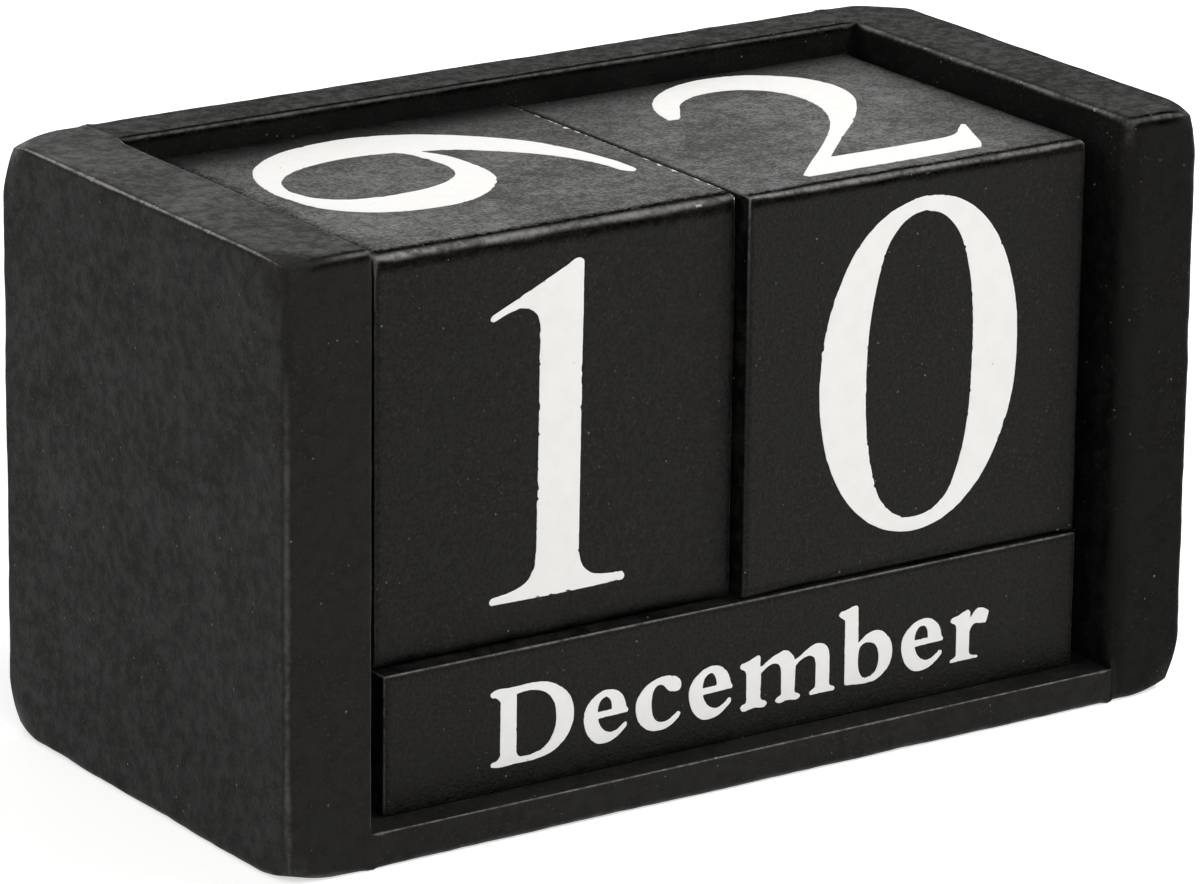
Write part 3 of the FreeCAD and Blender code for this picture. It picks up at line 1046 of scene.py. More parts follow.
LETTERS: Dict[str, Tuple[float, Tuple[str, ...]]] = {
    "D": (
        12.5,
        (
            "0.3,9 2.8,9.1 5.3,9.15 7.2,9 8.4,8.6 9.4,8 10.2,7.35 10.8,6.5 11.15,5.5 11.25,4.5 11.15,3.6 "
            "10.75,2.6 10.1,1.65 9.3,1 8.2,0.4 7.2,0.1 5.8,-0.05 3.3,-0.07 0.5,-0.03 0.1,0.1 0.1,0.45 "
            "0.4,0.6 1,0.8 1.3,1.2* 1.33,7.6* 1,8 0.6,8.25 0.2,8.3 0,8.55 0.05,8.85",
            "3.5,8.2* 4.8,8.35 6.1,8.2 7.3,7.75 8.2,6.9 8.7,5.9 8.85,4.8 8.8,3.7 8.5,2.7 7.9,1.75 7,1.05 "
            "5.8,0.7 4.6,0.6 3.8,0.75 3.5,1.2*",
        ),
    ),
    "e": (
        7.2,
        (
            "0.1,3.3 0.2,4.1 0.7,5 1.5,5.7 2.4,6.15 3.3,6.3 4.2,6.15 5,5.7 5.5,5.1 5.8,4.4 5.9,3.9 "
            "6.2,3.45* 6.1,3.12* 2.05,3.02* 2.2,2.5 2.7,1.7 3.3,1.25 4,1.1 4.7,1.3 5.3,1.7 5.7,2.02 "
            "5.97,1.92 6,1.6 5.5,1.05 4.7,0.45 3.8,0.05 2.8,-0.08 2,0.05 1.3,0.5 0.7,1.2 0.3,2.1",
            "2,3.8* 2.1,4.5 2.4,5.1 2.8,5.4 3.3,5.4 3.7,5.05 3.9,4.5 3.95,3.85*",
        ),
    ),
    "c": (
        7.25,
        (
            "0,3.3 0.15,4.1 0.75,5 1.55,5.7 2.55,6.15 3.75,6.35 4.95,6.25 5.75,5.95 6.2,5.4 6.25,4.8 "
            "6,4.35 5.35,4.3 4.65,4.45 4.25,4.8 3.85,5.25 3.35,5.45 2.85,5.35 2.45,4.8 2.25,4.1 2.2,3.1 "
            "2.35,2.1 2.75,1.3 3.35,0.95 4.15,0.9 4.85,1.15 5.45,1.55 5.9,1.8 6.2,1.6 6.05,1.2 5.35,0.6 "
            "4.45,0.15 3.35,-0.05 2.15,0.1 1.25,0.6 0.55,1.3 0.15,2.2",
        ),
    ),
    "m": (
        13.9,
        (
            ARCH_HEAD
            + "2.85,4.8* 3.65,5.25 4.55,5.75 5.45,6.05 6.25,6.25 6.95,6 7.45,5.5 7.7,4.8* 8.35,5.1 "
              "9.25,5.65 10.05,6.05 11.05,6.25 11.85,6 12.35,5.5 12.6,4.7 12.65,3.8 12.65,1.1* 12.8,0.8 "
              "13.25,0.6 13.45,0.4 13.3,0.05* 11.55,0.1 9.95,0.05* 9.85,0.4 10.15,0.65 10.6,0.9 "
              "10.7,1.3* 10.7,3.8* 10.45,4.6 9.85,4.95 9.05,4.85 8.35,4.5 7.85,4.1* 7.75,1.2* 7.95,0.8 "
              "8.45,0.55 8.55,0.25 8.35,0.05 6.85,0.1 5.25,0.05 5.05,0.3 5.25,0.6 5.75,0.9 5.85,1.2* "
            + ARCH_FOOT
            + ARCH_TAIL,
        ),
    ),
    "b": (
        8.95,
        (
            TALL_HEAD
            + "2.85,5* 3.45,5.55 4.35,6.05 5.25,6.2 6.15,6 6.95,5.35 7.55,4.45 7.75,3.45 7.65,2.35 "
              "7.15,1.35 6.35,0.6 5.35,0.1 4.35,-0.05 3.15,0 1.95,0.15 1.1,0.25 0.95,0.35* "
            + TALL_TAIL,
            "2.9,3.65 3.05,4.45 3.55,4.85 4.35,4.9 5.15,4.55 5.65,3.75 5.8,2.85 5.65,1.75 5.25,1.05 "
            "4.55,0.7 3.85,0.65 3.35,0.95 3,1.65 2.85,2.65",
        ),
    ),
    "r": (
        6.4,
        (
            SHORT_HEAD
            + "2.6,6.1 2.85,5.9* 2.9,5* 3.4,5.7 4,6.1 4.7,6 5.5,5.6* 5.6,5.4* 5.2,4.2* 5,4.1* 4.3,4.2 "
              "3.7,4.3 3.2,4.1 2.9,3.6 2.8,2.9* 2.8,0.9* 3,0.55 3.6,0.35 4.1,0.2 4,0* 2,0 0.1,-0.05* "
              "0.05,0.25 0.5,0.45 0.85,0.7 0.9,1.1* "
            + SHORT_TAIL,
        ),
    ),
    "n": (
        9.0,
        (
            ARCH_HEAD + ARCH + ARCH_FOOT + ARCH_TAIL,
        ),
    ),
    "h": (
        9.0,
        (
            TALL_HEAD + ARCH + ARCH_FOOT + TALL_TAIL,
        ),
    ),
    "u": (
        9.0,
        (
            "0,5.6 0.1,5.95* 2.7,6.1* 2.85,5.9* 2.85,2.2* 3.1,1.5 3.7,1.15 4.4,1.2 5.1,1.55 5.7,2* "
            "5.75,4.9* 5.55,5.3 5,5.5 4.75,5.7 4.85,6* 7.55,6.1* 7.7,5.9* 7.7,1.3* 7.9,0.8 8.4,0.6 "
            "8.6,0.4 8.45,0.1* 6,-0.05* 5.8,0.1* 5.75,1.15* 5,0.5 4.1,0.05 3.1,-0.1 2,0.1 1.3,0.7 "
            "1,1.6 0.95,2.5 0.95,4.9* 0.75,5.3 0.2,5.4",
        ),
    ),
    "a": (
        7.4,
        (
            "0.35,4.7 0.75,5.4 1.6,6 2.9,6.3 4.2,6.2 5.2,5.8 5.8,5 5.95,4 5.95,1.5* 6.1,1 6.5,0.85 "
            "6.85,0.95 7.05,0.75 6.9,0.4 6.2,0 5.3,-0.1 4.5,0.2 4.05,0.9* 3.3,0.2 2.3,-0.1 1.2,0 "
            "0.4,0.6 0.05,1.5 0.3,2.4 1.1,3.1 2.3,3.6 3.95,4* 3.95,4.7 3.6,5.3 3,5.5 2.5,5.3 2.35,4.8 "
            "2.2,4.3 1.6,4 0.9,4.05 0.4,4.3",
            "3.95,3.3* 2.8,2.95 2.15,2.4 1.95,1.7 2.2,1.1 2.8,0.9 3.45,1.2 3.95,1.8*",
        ),
    ),
    "o": (
        7.7,
        (
            "0,3.1 0.25,4.4 1,5.5 2.2,6.2 3.6,6.3 5,6.05 6.2,5.4 6.9,4.3 7.1,3.1 6.8,1.8 6,0.8 4.8,0.1 "
            "3.4,-0.1 2.1,0.1 1,0.8 0.25,1.9",
            "2.05,3.2 2.2,4.5 2.75,5.3 3.5,5.55 4.3,5.2 4.85,4.4 5.05,3.2 4.9,1.9 4.35,1 3.55,0.7 "
            "2.8,1 2.25,1.9",
        ),
    ),
    "v": (
        7.9,
        (
            "0,5.7 0.1,6* 3.7,6* 3.8,5.7 3.5,5.5 3,5.3 2.95,5* 4.5,1.9* 5.6,4.9* 5.5,5.3 5,5.5 "
            "4.85,5.75 5,6* 7.5,6* 7.65,5.75 7.4,5.5 6.9,5.25 6.6,4.8* 4.5,0* 3.5,-0.05* 0.9,4.9* "
            "0.6,5.4 0.2,5.5",
        ),
    ),
    "y": (
        8.0,
        (
            "0,5.7 0.1,6* 3.7,6* 3.8,5.7 3.5,5.5 3,5.3 2.95,5* 4.55,2.2* 5.6,4.9* 5.5,5.3 5,5.5 "
            "4.85,5.75 5,6* 7.6,6* 7.75,5.75 7.5,5.5 7,5.25 6.7,4.8* 4.2,-1* 3.6,-2 2.7,-2.6 "
            "1.7,-2.7 0.9,-2.4 0.55,-1.8 0.75,-1.2 1.3,-0.95 1.9,-1.1 2.4,-1.45 2.8,-1.4 3.15,-0.9 "
            "3.45,-0.2* 0.9,4.9* 0.6,5.4 0.2,5.5",
        ),
    ),
    "i": (
        4.1,
        (
            SHORT_HEAD + "2.6,6.1 2.85,5.9* " + SLIM_FOOT + SHORT_TAIL,
            "0.7,8.2 1.05,8.95 1.85,9.3 2.65,8.95 3,8.2 2.65,7.4 1.85,7.05 1.05,7.4",
        ),
    ),
    "l": (
        4.1,
        (
            TALL_HEAD + SLIM_FOOT + TALL_TAIL,
        ),
    ),
    "t": (
        5.0,
        (
            "0,5.3* 0.1,5.7 1,6.4 1.9,7.5 2.35,8.1* 2.85,8.1* 2.85,6.05* 4.4,6.05* 4.5,5.35* "
            "2.85,5.3* 2.85,2 3,1.35 3.45,1.1 3.95,1.35 4.4,1.75 4.7,1.6 4.6,1.1 3.9,0.3 2.9,-0.1 "
            "1.9,0 1.2,0.6 0.95,1.5 0.95,5.3*",
        ),
    ),
    "p": (
        8.4,
        (
            SHORT_HEAD
            + "2.65,6.15 2.85,5.9* 2.85,5.2* 3.5,5.8 4.4,6.2 5.3,6.25 6.4,5.9 7.3,5 7.8,3.8 7.75,2.5 "
              "7.3,1.3 6.4,0.4 5.2,-0.05 4,0 3.3,0.3 2.85,0.6* 2.85,-1.7* 3,-2 3.6,-2.15 3.85,-2.35 "
              "3.7,-2.65* 1.9,-2.6 0.15,-2.65* 0.05,-2.35 0.4,-2.15 0.85,-2 0.95,-1.6* "
            + SHORT_TAIL,
            "2.95,4.1 3.5,4.8 4.3,4.9 5.1,4.5 5.65,3.6 5.8,2.7 5.6,1.7 5.05,1 4.2,0.75 3.4,1 3,1.7 "
            "2.9,2.9",
        ),
    ),
    "g": (
        7.9,
        (
            "0,3.1 0.3,4.5 1.1,5.6 2.3,6.2 3.5,6.2 4.3,5.8 4.9,5.2* 5.1,6* 6.85,6.15* 6.95,5.9* "
            "6.9,2.5 6.85,-0.5 6.5,-1.6 5.6,-2.4 4.2,-2.8 2.7,-2.8 1.4,-2.5 0.6,-1.95 0.5,-1.3 "
            "1,-0.8 1.8,-0.8 2.4,-1.3 3,-1.8 3.8,-1.95 4.5,-1.6 4.9,-0.8 4.95,0.6* 4.2,0.1 "
            "3.2,-0.1 2,0.1 0.9,0.8 0.2,1.9",
            "2,3 2.15,4.2 2.7,5 3.5,5.2 4.3,4.9 4.85,4.2* 4.9,1.8* 4.4,1.1 3.6,0.8 2.8,1 2.2,1.8",
        ),
    ),
    "s": (
        6.1,
        (
            "0.3,4.4 0.6,5.4 1.5,6.05 2.8,6.3 3.9,6.1 4.4,6.05 4.7,6.25* 5.05,6.2* 5,4.15* 4.7,4.1* "
            "4.2,4.9 3.4,5.6 2.6,5.7 2.05,5.3 2.1,4.7 2.8,4.2 4.1,3.6 5.1,2.8 5.4,1.8 5,0.7 4,0 "
            "2.7,-0.15 1.6,0.1 1,0.2 0.6,-0.1* 0.25,0* 0.2,2.2* 0.5,2.3* 1.1,1.2 2,0.5 3,0.5 "
            "3.6,0.9 3.5,1.5 2.8,2 1.5,2.6 0.6,3.3",
        ),
    ),
    "J": (
        7.6,
        (
            "1.4,9.15* 7,9.15* 7.2,8.8 6.9,8.5 6.3,8.3 5.9,7.8* 5.9,2.6 5.6,1.3 4.8,0.4 3.6,-0.1 "
            "2.2,-0.1 1,0.4 0.2,1.3 0,2.3 0.4,3 1.2,3.3 2,3 2.3,2.3 2.3,1.5 2.7,0.9 3.2,1.1 3.5,1.8 "
            "3.6,2.8 3.6,7.8* 3.2,8.3 2.2,8.5 1.4,8.6 1.2,8.9",
        ),
    ),
    "F": (
        9.1,
        (
            "0.1,8.8 0.3,9.15* 8.6,9.15* 8.8,6.6* 8.4,6.5* 7.8,7.6 7,8.3 5.8,8.5* 3.6,8.5* 3.6,5.2* "
            "4.8,5.2 5.5,5.5 5.9,6.3* 6.3,6.3* 6.3,3.4* 5.9,3.4* 5.5,4.2 4.8,4.5 3.6,4.5* 3.6,1.2* "
            "4,0.8 4.8,0.6 5,0.3 4.8,0* 2.4,0.05 0.2,0* 0.1,0.4 0.5,0.6 1.1,0.8 1.35,1.2* "
            "1.35,7.8* 1,8.2 0.4,8.4",
        ),
    ),
    "M": (
        13.6,
        (
            "0.1,8.8 0.3,9.15* 3.7,9.15* 6.7,3.2* 9.6,9.15* 13,9.15* 13.2,8.8 12.9,8.5 12.2,8.2 "
            "12,7.8* 12,1.2* 12.3,0.8 13,0.6 13.2,0.3 13,0* 10.8,0.05 8.8,0* 8.7,0.4 9.1,0.6 "
            "9.6,0.8 9.8,1.2* 9.8,7* 6.4,0* 5.6,0* 2.3,7* 2.3,1.2* 2.6,0.8 3.2,0.6 3.4,0.3 3.2,0* "
            "1.6,0.05 0.2,0* 0.1,0.4 0.5,0.6 1,0.8 1.3,1.2* 1.3,7.8* 1,8.2 0.4,8.4",
        ),
    ),
    "A": (
        10.6,
        (
            "4.9,9.3* 5.6,9.3* 9.2,1.3* 9.6,0.8 10.2,0.6 10.4,0.3 10.2,0* 7.9,0.05 5.7,0* 5.6,0.4 "
            "6,0.6 6.7,0.75 6.7,1.3* 6.1,2.8* 3,2.8* 2.4,1.3* 2.5,0.8 3.1,0.6 3.3,0.3 3.1,0* "
            "1.6,0.05 0.2,0* 0.1,0.4 0.5,0.6 1,0.9 1.3,1.4*",
            "3.3,3.5* 5.8,3.5* 4.55,6.6*",
        ),
    ),
    "S": (
        8.1,
        (
            "0.4,6.7 0.8,8 1.9,9 3.5,9.35 5,9.1 5.9,8.85 6.4,9.25* 6.8,9.2* 6.9,6.3* 6.5,6.2* "
            "5.9,7.5 4.9,8.4 3.7,8.7 2.7,8.3 2.4,7.4 2.8,6.6 4,5.9 5.8,5 7,4 7.4,2.7 7,1.2 5.8,0.2 "
            "4.1,-0.15 2.5,0.1 1.4,0.5 0.9,0* 0.4,0* 0.3,3.2* 0.7,3.3* 1.4,1.8 2.6,0.7 4.1,0.5 "
            "5.2,1 5.4,2 4.9,2.8 3.6,3.5 1.9,4.3 0.8,5.4",
        ),
    ),
    "O": (
        10.7,
        (
            "0,4.6 0.4,6.6 1.5,8.2 3.2,9.1 5,9.3 6.9,9 8.6,8 9.7,6.4 10,4.6 9.6,2.7 8.5,1.1 "
            "6.8,0.1 5,-0.15 3.1,0.1 1.4,1.1 0.4,2.7",
            "2.6,4.6 2.8,6.4 3.4,7.8 4.3,8.5 5.2,8.6 6.2,8.1 7,6.9 7.4,5.2 7.3,3.3 6.8,1.7 5.9,0.8 "
            "4.9,0.6 3.9,1 3.1,2.2 2.7,3.5",
        ),
    ),
    "N": (
        11.4,
        (
            "0.1,8.8 0.3,9.15* 3.6,9.15* 8.8,3* 8.8,7.8* 8.5,8.3 7.8,8.5 7.6,8.8 7.8,9.15* 9.3,9.1 "
            "10.9,9.15* 11,8.8 10.7,8.5 10,8.3 9.7,7.8* 9.7,0* 8.9,0* 2.3,7.4* 2.3,1.2* 2.6,0.8 "
            "3.3,0.6 3.5,0.3 3.3,0* 1.7,0.05 0.2,0* 0.1,0.4 0.5,0.6 1,0.8 1.3,1.2* 1.3,7.8* 1,8.2 "
            "0.4,8.4",
        ),
    ),
}


def read_outline(text: str, steps: int = 9) -> np.ndarray:
    """Turn one outline into a closed line of close points.

    Args:
        text: The outline's points, with a star after each corner.
        steps: Number of points on each run between two outline points.

    Returns:
        The points of the line, one row each.
    """
    words = text.split()
    knots = np.array([[float(part) for part in word.rstrip("*").split(",")] for word in words])
    corner = [word.endswith("*") for word in words]
    count = len(knots)
    runs = np.roll(knots, -1, axis=0) - knots
    lengths = np.linalg.norm(runs, axis=1)
    unit = runs / lengths[:, None]
    line = []
    for i in range(count):
        after = (i + 1) % count
        before = i - 1
        leave = unit[i] if corner[i] else _turn(unit[before], unit[i], lengths[before], lengths[i])
        arrive = (
            unit[i] if corner[after] else _turn(unit[i], unit[after], lengths[i], lengths[after])
        )
        for step in range(steps):
            t = step / steps
            line.append(
                (2 * t**3 - 3 * t**2 + 1) * knots[i]
                + (t**3 - 2 * t**2 + t) * lengths[i] * leave
                + (3 * t**2 - 2 * t**3) * knots[after]
                + (t**3 - t**2) * lengths[i] * arrive
            )
    return np.array(line)


def _turn(first: np.ndarray, second: np.ndarray, before: float, after: float) -> np.ndarray:
    """Find the direction in which a smooth line passes a point between two runs.

    Args:
        first: Direction of the run that ends at the point.
        second: Direction of the run that starts there.
        before: Length of the first run.
        after: Length of the second run.

    Returns:
        The direction, nearer to that of the shorter run.
    """
    return (first * after + second * before) / (before + after)


def depth_field(outlines: Iterable[np.ndarray], x: np.ndarray, y: np.ndarray) -> np.ndarray:
    """Return how deep inside the outlines each place of a grid lies.

    Args:
        outlines: Closed lines, where a line inside another one is a hole.
        x: Grid columns.
        y: Grid rows.

    Returns:
        The depths, negative outside, one row for each y.
    """
    across, up = np.meshgrid(x, y)
    nearest = np.full(across.shape, 1e9)
    inside = np.zeros(across.shape, dtype=bool)
    for line in outlines:
        for (ax, ay), (bx, by) in zip(line, np.roll(line, -1, axis=0)):
            dx, dy = bx - ax, by - ay
            along = np.clip(((across - ax) * dx + (up - ay) * dy) / (dx * dx + dy * dy), 0.0, 1.0)
            nearest = np.minimum(nearest, (across - ax - along * dx) ** 2 + (up - ay - along * dy) ** 2)
            if ay != by:
                crossed = (ay > up) != (by > up)
                inside ^= crossed & (across < ax + (up - ay) * dx / dy)
    return np.where(inside, 1.0, -1.0) * np.sqrt(nearest)


def softened(grid: np.ndarray, times: int) -> np.ndarray:
    """Average each place of a grid with its neighbours.

    Args:
        grid: The grid.
        times: How many times over it is done.

    Returns:
        The softened grid.
    """
    for _ in range(times):
        wide = np.pad(grid, 1, mode="edge")
        grid = (
            4.0 * grid + wide[:-2, 1:-1] + wide[2:, 1:-1] + wide[1:-1, :-2] + wide[1:-1, 2:]
        ) / 8.0
    return grid


def rough_grid(shape: Tuple[int, int], cell: float, rng: np.random.Generator) -> np.ndarray:
    """Draw smooth random values over a grid.

    Args:
        shape: Rows and columns of the grid.
        cell: About how many places lie between one swing and the next.
        rng: Where the random numbers come from.

    Returns:
        Values from -1 to 1.
    """
    rows, columns = (int(size / cell) + 3 for size in shape)
    coarse = rng.uniform(-1.0, 1.0, (rows, columns))
    # The places end just short of the last row and column, so that each has a next one
    at_rows = np.linspace(0, rows - 1.001, shape[0])
    at_columns = np.linspace(0, columns - 1.001, shape[1])
    i, j = at_rows.astype(int), at_columns.astype(int)
    s, t = at_rows - i, at_columns - j
    s, t = (3 * s**2 - 2 * s**3)[:, None], (3 * t**2 - 2 * t**3)[None, :]
    top = coarse[i][:, j] * (1 - t) + coarse[i][:, j + 1] * t
    bottom = coarse[i + 1][:, j] * (1 - t) + coarse[i + 1][:, j + 1] * t
    return top * (1 - s) + bottom * s


def trace(depth: np.ndarray, x: np.ndarray, y: np.ndarray) -> List[np.ndarray]:
    """Follow the lines where a grid of depths passes through zero.

    Args:
        depth: Depths, one row for each y.
        x: Grid columns.
        y: Grid rows.

    Returns:
        Closed lines with the inside on their left.
    """
    inside = depth > 0.0
    rows, columns = depth.shape
    corners = inside[:-1, :-1].astype(int) + inside[:-1, 1:] + inside[1:, 1:] + inside[1:, :-1]
    follow: Dict[Tuple[int, int, int], Tuple[int, int, int]] = {}
    for j, i in np.argwhere((corners > 0) & (corners < 4)):
        around = [inside[j, i], inside[j, i + 1], inside[j + 1, i + 1], inside[j + 1, i]]
        edges = [(j, i, 0), (j, i + 1, 1), (j + 1, i, 0), (j, i, 1)]
        leaving = [k for k in range(4) if around[k] and not around[(k + 1) % 4]]
        entering = [k for k in range(4) if not around[k] and around[(k + 1) % 4]]
        for k in leaving:
            start = min(entering, key=lambda e: (k - e) % 4)
            follow[edges[k]] = edges[start]
    lines = []
    while follow:
        first, here = follow.popitem()
        chain = [first]
        while here != first:
            chain.append(here)
            here = follow.pop(here)
        places = []
        for j, i, upward in chain:
            k, m = (j + 1, i) if upward else (j, i + 1)
            share = depth[j, i] / (depth[j, i] - depth[k, m])
            places.append((x[i] + share * (x[m] - x[i]), y[j] + share * (y[k] - y[j])))
        if len(places) > FEWEST_PLACES:
            lines.append(np.array(places))
    return lines


@dataclass
class Print:
    """Numerals or letters printed on one flat face, as a thin film of white paint.

    Attributes:
        name: Name of the film's object.
        body: Body that it rides on.
        origin: Lower left corner of the face, in millimetres.
        right: Reading direction.
        up: Upward direction.
        pitch: Step of the grid that the outlines are traced on, in millimetres.
        ragged: How far the outlines stray.
        filling: Step of the points inside the outlines.
        film: Thickness of the film, most of it sunk into the block.
        crown: Height of its rounded rim.
        lip_share: Width of the rounded rim, as a share of the pitch.
        clear_share: How far the points inside keep from the outlines, as a share of the filling.
        points: Points of the film so far.
        faces: Faces of the film so far.
        count: Number of those points.
    """

    name: str
    body: str
    origin: np.ndarray
    right: np.ndarray
    up: np.ndarray
    pitch: float
    ragged: float
    filling: float
    film: float = 0.14
    crown: float = 0.035
    lip_share: float = 0.28
    clear_share: float = 0.45
    points: List[np.ndarray] = field(default_factory=list)
    faces: List[np.ndarray] = field(default_factory=list)
    count: int = 0

    # Lengths of the random swings of an outline, in grid steps, and how deep the bites go
    _wobble: ClassVar[float] = 6.0
    _ripple: ClassVar[float] = 2.6
    _patch: ClassVar[float] = 30.0
    _bite: ClassVar[float] = 4.0
    _bite_depth: ClassVar[float] = 6.0
    _fields: ClassVar[Dict[Tuple[Any, ...], Tuple[np.ndarray, np.ndarray, np.ndarray]]] = {}

    def add_glyph(self, outlines: Tuple[str, ...], at: Point, seed: int) -> None:
        """Print one glyph.

        Args:
            outlines: The glyph's outlines.
            at: Where its own zero lies on the face, in millimetres.
            seed: Seed of its ragged edge.
        """
        key = (outlines, self.pitch)
        if key not in Print._fields:
            lines = [read_outline(text) for text in outlines]
            low = np.concatenate(lines).min(axis=0) - 4.0 * self.pitch
            high = np.concatenate(lines).max(axis=0) + 4.0 * self.pitch
            x = np.arange(low[0], high[0] + self.pitch, self.pitch)
            y = np.arange(low[1], high[1] + self.pitch, self.pitch)
            Print._fields[key] = (x, y, softened(depth_field(lines, x, y), 2))
        x, y, clean = Print._fields[key]
        rng = np.random.default_rng(seed)
        rough = rough_grid(clean.shape, self._wobble, rng)
        rough = rough + 0.7 * rough_grid(clean.shape, self._ripple, rng)
        patchy = np.clip(0.55 + rough_grid(clean.shape, self._patch, rng), 0.15, 1.0)
        bites = np.maximum(rough_grid(clean.shape, self._bite, rng) - 0.55, 0.0)
        depth = clean + self.ragged * (patchy * rough - self._bite_depth * bites)
        self._fill(trace(depth, x, y), depth, x, y, at)

    def _fill(
        self, lines: List[np.ndarray], depth: np.ndarray, x: np.ndarray, y: np.ndarray, at: Point
    ) -> None:
        """Close the shape inside the lines into a film with rounded upper edges.

        Args:
            lines: Traced lines of the glyph, with the inside on their left.
            depth: Depths, one row for each y.
            x: Grid columns.
            y: Grid rows.
            at: Where the glyph's own zero lies on the face, in millimetres.
        """
        rim, lip, edges = self._rim_and_lip(lines)
        spots, cells, place_of = self._plate(lip, edges, depth, x, y)
        size, total = len(spots), len(rim)
        back = spots.copy()
        for source, k in place_of.items():
            back[k] = rim[source]
        film_top = np.column_stack([spots, np.zeros(size)])
        film_base = np.column_stack([back, np.full(size, -self.film)])
        ridge = np.column_stack([rim, np.full(total, -self.crown)])
        self.points.append(self._placed(np.concatenate([film_top, film_base, ridge]), at))
        walls = []
        for a, b in edges:
            if a not in place_of or b not in place_of:
                continue
            top_a, top_b = place_of[a], place_of[b]
            low_a, low_b = top_a + size, top_b + size
            mid_a, mid_b = 2 * size + a, 2 * size + b
            walls += [(top_a, mid_a, mid_b), (top_a, mid_b, top_b)]
            walls += [(mid_a, low_a, low_b), (mid_a, low_b, mid_b)]
        self.faces.append(np.concatenate([cells, cells[:, ::-1] + size, np.array(walls)]) + self.count)
        self.count += 2 * size + total

    def _rim_and_lip(
        self, lines: List[np.ndarray]
    ) -> Tuple[np.ndarray, np.ndarray, List[Tuple[int, int]]]:
        """Set a second line just inside each traced line. The rounded rim lies between them.

        Args:
            lines: Traced lines of the glyph, with the inside on their left.

        Returns:
            The points of the traced lines, those of the inner lines, and which are neighbours.
        """
        inner, edges = [], []
        total = 0
        for line in lines:
            along = np.roll(line, -1, axis=0) - np.roll(line, 1, axis=0)
            along /= np.maximum(np.linalg.norm(along, axis=1, keepdims=True), 1e-9)
            inward = np.stack([-along[:, 1], along[:, 0]], axis=1)
            inner.append(line + self.lip_share * self.pitch * inward)
            edges += [(total + k, total + (k + 1) % len(line)) for k in range(len(line))]
            total += len(line)
        return np.concatenate(lines), np.concatenate(inner), edges

    def _plate(
        self,
        lip: np.ndarray,
        edges: List[Tuple[int, int]],
        depth: np.ndarray,
        x: np.ndarray,
        y: np.ndarray,
    ) -> Tuple[np.ndarray, np.ndarray, Dict[int, int]]:
        """Lay triangles over the flat of the glyph, inside its rounded rim.

        Args:
            lip: Points of the lines round the flat.
            edges: Which of them are neighbours.
            depth: Depths, one row for each y.
            x: Grid columns.
            y: Grid rows.

        Returns:
            The points of the flat, its triangles, and which point each point of the lip became.
        """
        step = max(1, int(self.filling / self.pitch))
        j, i = np.meshgrid(np.arange(step, len(y), step), np.arange(step, len(x), step), indexing="ij")
        deep = depth[j, i] > self.clear_share * self.filling
        middle = np.stack([x[i[deep]], y[j[deep]]], axis=1)
        flat = np.concatenate([lip, middle])
        found = delaunay_2d_cdt([Vector(p) for p in flat], edges, [], 0, 1e-7)
        spots = np.array([tuple(p) for p in found[0]])
        cells = np.array([tuple(f) for f in found[2]])

        # Only the triangles inside the outlines are kept, and they are turned to face outwards
        centre = spots[cells].mean(axis=1)
        column = np.clip(((centre[:, 0] - x[0]) / self.pitch).astype(int), 0, len(x) - 2)
        row = np.clip(((centre[:, 1] - y[0]) / self.pitch).astype(int), 0, len(y) - 2)
        s = (centre[:, 0] - x[column]) / self.pitch
        t = (centre[:, 1] - y[row]) / self.pitch
        level = (
            depth[row, column] * (1 - s) * (1 - t)
            + depth[row, column + 1] * s * (1 - t)
            + depth[row + 1, column] * (1 - s) * t
            + depth[row + 1, column + 1] * s * t
        )
        cells = cells[level > 0.0]
        area = np.cross(spots[cells[:, 1]] - spots[cells[:, 0]], spots[cells[:, 2]] - spots[cells[:, 0]])
        cells = np.where((area < 0)[:, None], cells[:, ::-1], cells)
        origin_of = [ids[0] if ids else -1 for ids in found[3]]
        place_of = {source: k for k, source in enumerate(origin_of) if 0 <= source < len(lip)}
        return spots, cells, place_of

    def _placed(self, local: np.ndarray, at: Point) -> np.ndarray:
        """Turn places on the face into places in the frame, in millimetres.

        Args:
            local: Places to the right, up and out from the glyph's own zero.
            at: Where that zero lies on the face.

        Returns:
            The places in the frame.
        """
        normal = np.cross(self.right, self.up)
        return (
            self.origin
            + (local[:, :1] + at[0]) * self.right
            + (local[:, 1:2] + at[1]) * self.up
            + local[:, 2:] * normal
        )

    def finish(self, paint: Any) -> Any:
        """Make the printed film one object on its body.

        Args:
            paint: Material of the film.

        Returns:
            The new object.
        """
        points = np.concatenate(self.points) * MM
        faces = np.concatenate(self.faces)
        mesh = bpy.data.meshes.new(self.name)
        mesh.from_pydata(points.tolist(), [], faces.tolist())
        mesh.validate()
        mesh.materials.append(paint)
        film = add_object(self.name, mesh)
        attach(film, self.body)
        LOG.info("%s: %d points, %d faces", self.name, len(points), len(faces))
        return film


def face_frame(block: PaintedBlock, side: Side, turn: int) -> Tuple[np.ndarray, np.ndarray, np.ndarray]:
    """Return where printing starts on a face and which way it runs.

    Args:
        block: The block that is printed.
        side: The face.
        turn: Quarter turns clockwise, as seen from outside.

    Returns:
        The lower left corner, the reading direction and the upward direction.
    """
    upright = {
        Side.FRONT: ((1, 0, 0), (0, 0, 1)),
        Side.TOP: ((1, 0, 0), (0, 1, 0)),
        Side.BACK: ((1, 0, 0), (0, 0, -1)),
        Side.BOTTOM: ((1, 0, 0), (0, -1, 0)),
        Side.RIGHT: ((0, 1, 0), (0, 0, 1)),
        Side.LEFT: ((0, -1, 0), (0, 0, 1)),
    }
    right, up = (np.array(part, float) for part in upright[side])
    for _ in range(turn % 4):
        right, up = -up, right
    normal = np.cross(right, up)
    inward = -(right + up - normal)
    corner = np.where(inward < 0, block.low, block.high)
    return corner, right, up


# Sub-assemblies


